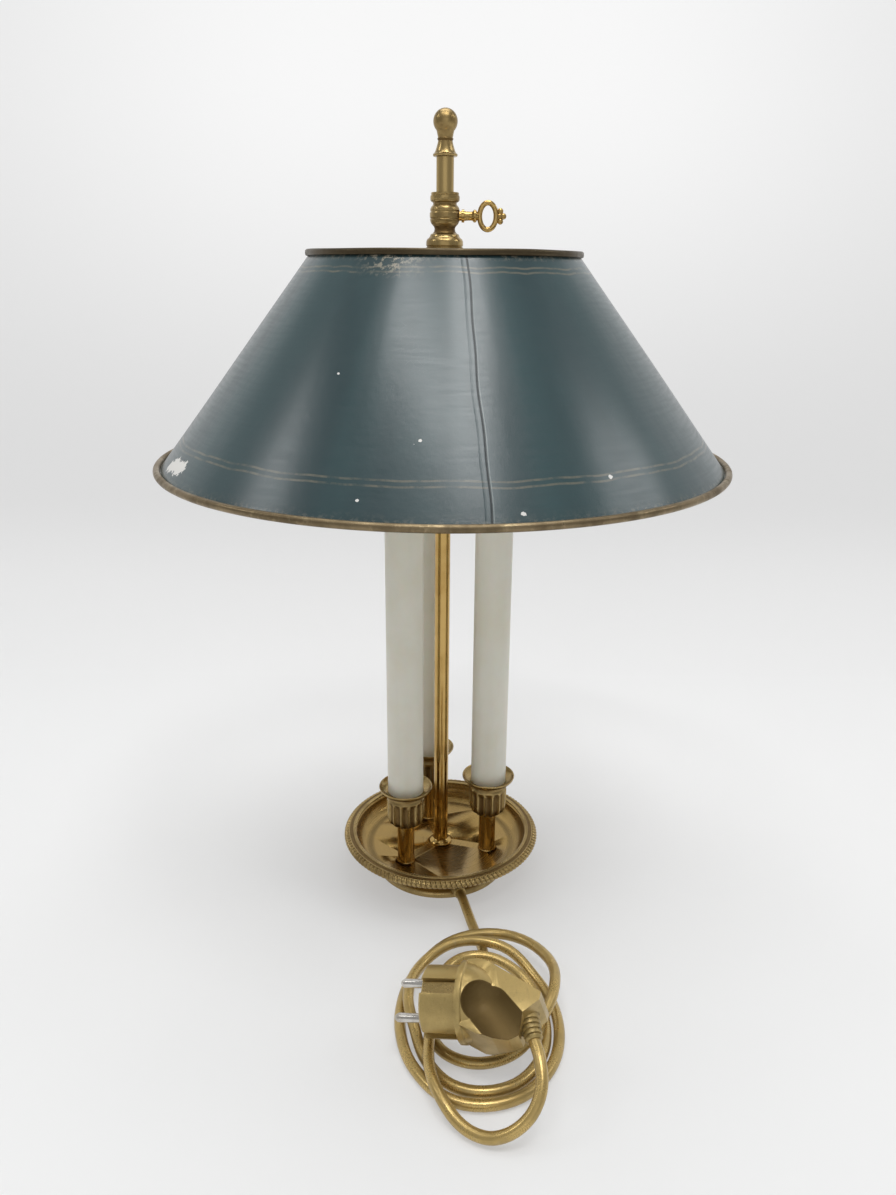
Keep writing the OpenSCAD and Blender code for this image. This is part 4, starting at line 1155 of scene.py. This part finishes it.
class LAMP_OT_key(bpy.types.Operator):
    """Casts the key: shank with rings, oval bow and three-lobed crown"""

    bl_idname = "lamp.key"
    bl_label = "Key"

    def execute(self, context):
        low, high = levels("key_screw")
        axis_z = (low + high) / 2
        bm = bmesh.new()
        rows = [(0, 5.2), (2.7, 5.2), (2.7, 9.6), (3.55, 9.75), (3.6, 11.2), (2.7, 11.4), (2.5, 13.0),
                (2.4, 15.2), (2.7, 16.2), (3.4, 16.7), (3.55, 17.4), (3.3, 18.1), (2.4, 18.6),
                (2.0, 19.4), (0, 19.4)]
        to_x = Matrix.Translation((0, 0, axis_z * MM)) @ turn_by(90, "Y")
        add_to(bm, turned(rows, 48), to_x)
        # the bow is a round wire bent to an oval, a little flattened
        steps, sides = 64, 14
        rings = []
        for a in [TURN * k / steps for k in range(steps)]:
            middle = Vector((BOW_X + BOW_WIDE * cos(a), 0, BOW_TALL * sin(a)))
            way = Vector((cos(a) / BOW_WIDE, 0, sin(a) / BOW_TALL)).normalized()
            rings.append([
                bm.verts.new((middle + way * BOW_WIRE * cos(b)
                              + Vector((0, BOW_FLAT * sin(b), 0)) + Vector((0, 0, axis_z))) * MM)
                for b in [TURN * s / sides for s in range(sides)]
            ])
        for ring, after in zip(rings, rings[1:] + rings[:1]):
            for s in range(sides):
                t = (s + 1) % sides
                bm.faces.new((ring[s], after[s], after[t], ring[t]))
        balls = [(x, z, LOBE_R, 0.74) for x, z in LOBES] + [(KNOB_X, 0, KNOB_R, 0.8)]
        for x, z, radius, flat in balls:
            ball = bmesh.new()
            bmesh.ops.create_uvsphere(ball, u_segments=24, v_segments=14, radius=radius * MM)
            squash = Matrix.Scale(flat, 4, (0, 1, 0))
            add_to(bm, ball, Matrix.Translation((x * MM, 0, (axis_z + z) * MM)) @ squash)
        finish("key_cast", bm, key_brass(), "key_screw", "key", sharp=45)
        return {"FINISHED"}


# millimetres: the sheet, and the lap's folded strip as (across, out), blunt on its right
SHADE_WALL = 1.0
LAP = ((-3.2, -0.15), (-2.4, 0.06), (-1.2, 0.15), (0.3, 0.2), (0.75, 0.16), (0.9, -0.2))
# how far the strip moves out from the axis, to stand one millimetre off the cone
SLOPE_OUT = 1.26


def dent(turn, t):
    """How far the shade's sheet waves out, in millimetres, t of the way up it"""
    return (0.28 * sin(3 * turn + 1.0) + 0.18 * sin(7 * turn + 5 * t)) * sin(pi * t)


class LAMP_OT_shade(bpy.types.Operator):
    """Rolls the painted shade with its lap seam, and its two bronzed rims"""

    bl_idname = "lamp.shade"
    bl_label = "Shade"

    def execute(self, context):
        foot, top = levels("shade")

        def share(co):
            return (co.z / MM - foot) / (top - foot)

        def outside(t):
            return SHADE_FOOT_R + (SHADE_TOP_R - SHADE_FOOT_R) * t, foot + (top - foot) * t

        def is_inside(co):
            return 1.0 if reach(co) < outside(share(co))[0] - 0.6 else 0.0

        def rubbed(co):
            t = share(co)
            turn = degrees(way_of(co))
            patch = exp(-((turn + 109) / 8) ** 2) * max(0.0, (t - 0.9) / 0.08)
            edge = max(0.0, (t - 0.985) / 0.015) * 0.4 + max(0.0, (0.03 - t) / 0.03) * 0.25
            return min(1.0, patch + edge)

        rows_up = 40
        outer = [outside(k / rows_up) for k in range(rows_up + 1)]
        inner = [(r - SHADE_WALL, z) for r, z in outer[::-1]]
        bm = turned(outer + inner, 720, closed=True)
        for v in bm.verts:
            turn = way_of(v.co)
            swell = dent(turn, share(v.co))
            v.co.x += cos(turn) * swell * MM
            v.co.y += sin(turn) * swell * MM
        last = None
        for k in range(121):
            t = 0.012 + 0.976 * k / 120
            radius, height = outside(t)
            waver = sum(size * sin(t * speed) for speed, size in WAVER)
            row = []
            for across, out in LAP:
                turn = SEAM_TURN + (across + waver) / radius
                far = radius + dent(turn, t) + out * SLOPE_OUT
                row.append(bm.verts.new(polar(far, turn, height)))
            if last:
                for n in range(len(row)):
                    bm.faces.new((last[n - 1], last[n], row[n], row[n - 1]))
            if k in (0, 120):
                bm.faces.new(row)
            last = row
        shade = finish("painted_shade", bm, shade_paint(), "shade", "shade", sharp=50)
        store(shade, "inside", is_inside)
        store(shade, "rub", rubbed)

        # the top rim, which dips and waves a little
        base, top = levels("shade_top_rim")
        edge_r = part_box("shade_top_rim")[1][0] / MM
        rows = raised([(-4.6, 0), (-0.7, 0), (-0.15, 0.5), (0, 1.5)], base, edge_r)
        rows += raised([(-0.15, -0.7), (-0.8, -0.1), (-1.8, 0), (-3.8, 0), (-4.4, -0.3), (-4.6, -1)],
                       top, edge_r)
        bm = turned(rows, 256, closed=True)
        for v in bm.verts:
            turn = way_of(v.co)
            if v.co.z / MM > base + 0.4:
                v.co.z -= (0.2 + 0.2 * sin(5 * turn) * sin(2 * turn + 1)) * MM
        finish("bronzed_top_rim", bm, bronzed_rim(), "shade_top_rim", "shade", sharp=50)

        low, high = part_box("shade_bottom_rim")
        radius = (high[2] - low[2]) / 2 / MM
        middle = (high[2] + low[2]) / 2 / MM
        turns = [TURN * k / 16 for k in range(16)]
        rows = [(radius * cos(a), radius * sin(a)) for a in turns]
        bm = turned(raised(rows, middle, high[0] / MM - radius), 360, closed=True)
        finish("bronzed_bead", bm, bronzed_rim(), "shade_bottom_rim", "shade", sharp=80)
        return {"FINISHED"}


# ---- the add-on
class LAMP_PT_panel(bpy.types.Panel):
    """Shows the lamp's sizes and colours, and a button for each builder"""

    bl_idname = "LAMP_PT_panel"
    bl_label = "Bouillotte lamp"
    bl_space_type = "VIEW_3D"
    bl_region_type = "UI"
    bl_category = "Lamp"

    def draw(self, context):
        for group in (context.scene.lamp_sizes, context.scene.lamp_colours):
            for name in group.__annotations__:
                self.layout.prop(group, name)
        for operator in OPERATORS:
            self.layout.operator(operator.bl_idname)


OPERATORS = (
    LAMP_OT_stage, LAMP_OT_plug, LAMP_OT_mains_lead, LAMP_OT_foot, LAMP_OT_tray, LAMP_OT_stem,
    LAMP_OT_candles, LAMP_OT_bulbs, LAMP_OT_carrier, LAMP_OT_key, LAMP_OT_shade,
)
CLASSES = (LampSizes, LampColours) + OPERATORS + (LAMP_PT_panel,)


def register():
    for cls in CLASSES:
        bpy.utils.register_class(cls)
    bpy.types.Scene.lamp_sizes = bpy.props.PointerProperty(type=LampSizes)
    bpy.types.Scene.lamp_colours = bpy.props.PointerProperty(type=LampColours)


def unregister():
    del bpy.types.Scene.lamp_colours
    del bpy.types.Scene.lamp_sizes
    for cls in reversed(CLASSES):
        bpy.utils.unregister_class(cls)


def main():
    register()
    for operator in OPERATORS:
        group, name = operator.bl_idname.split(".")
        getattr(getattr(bpy.ops, group), name)()


if __name__ == "__main__":
    main()
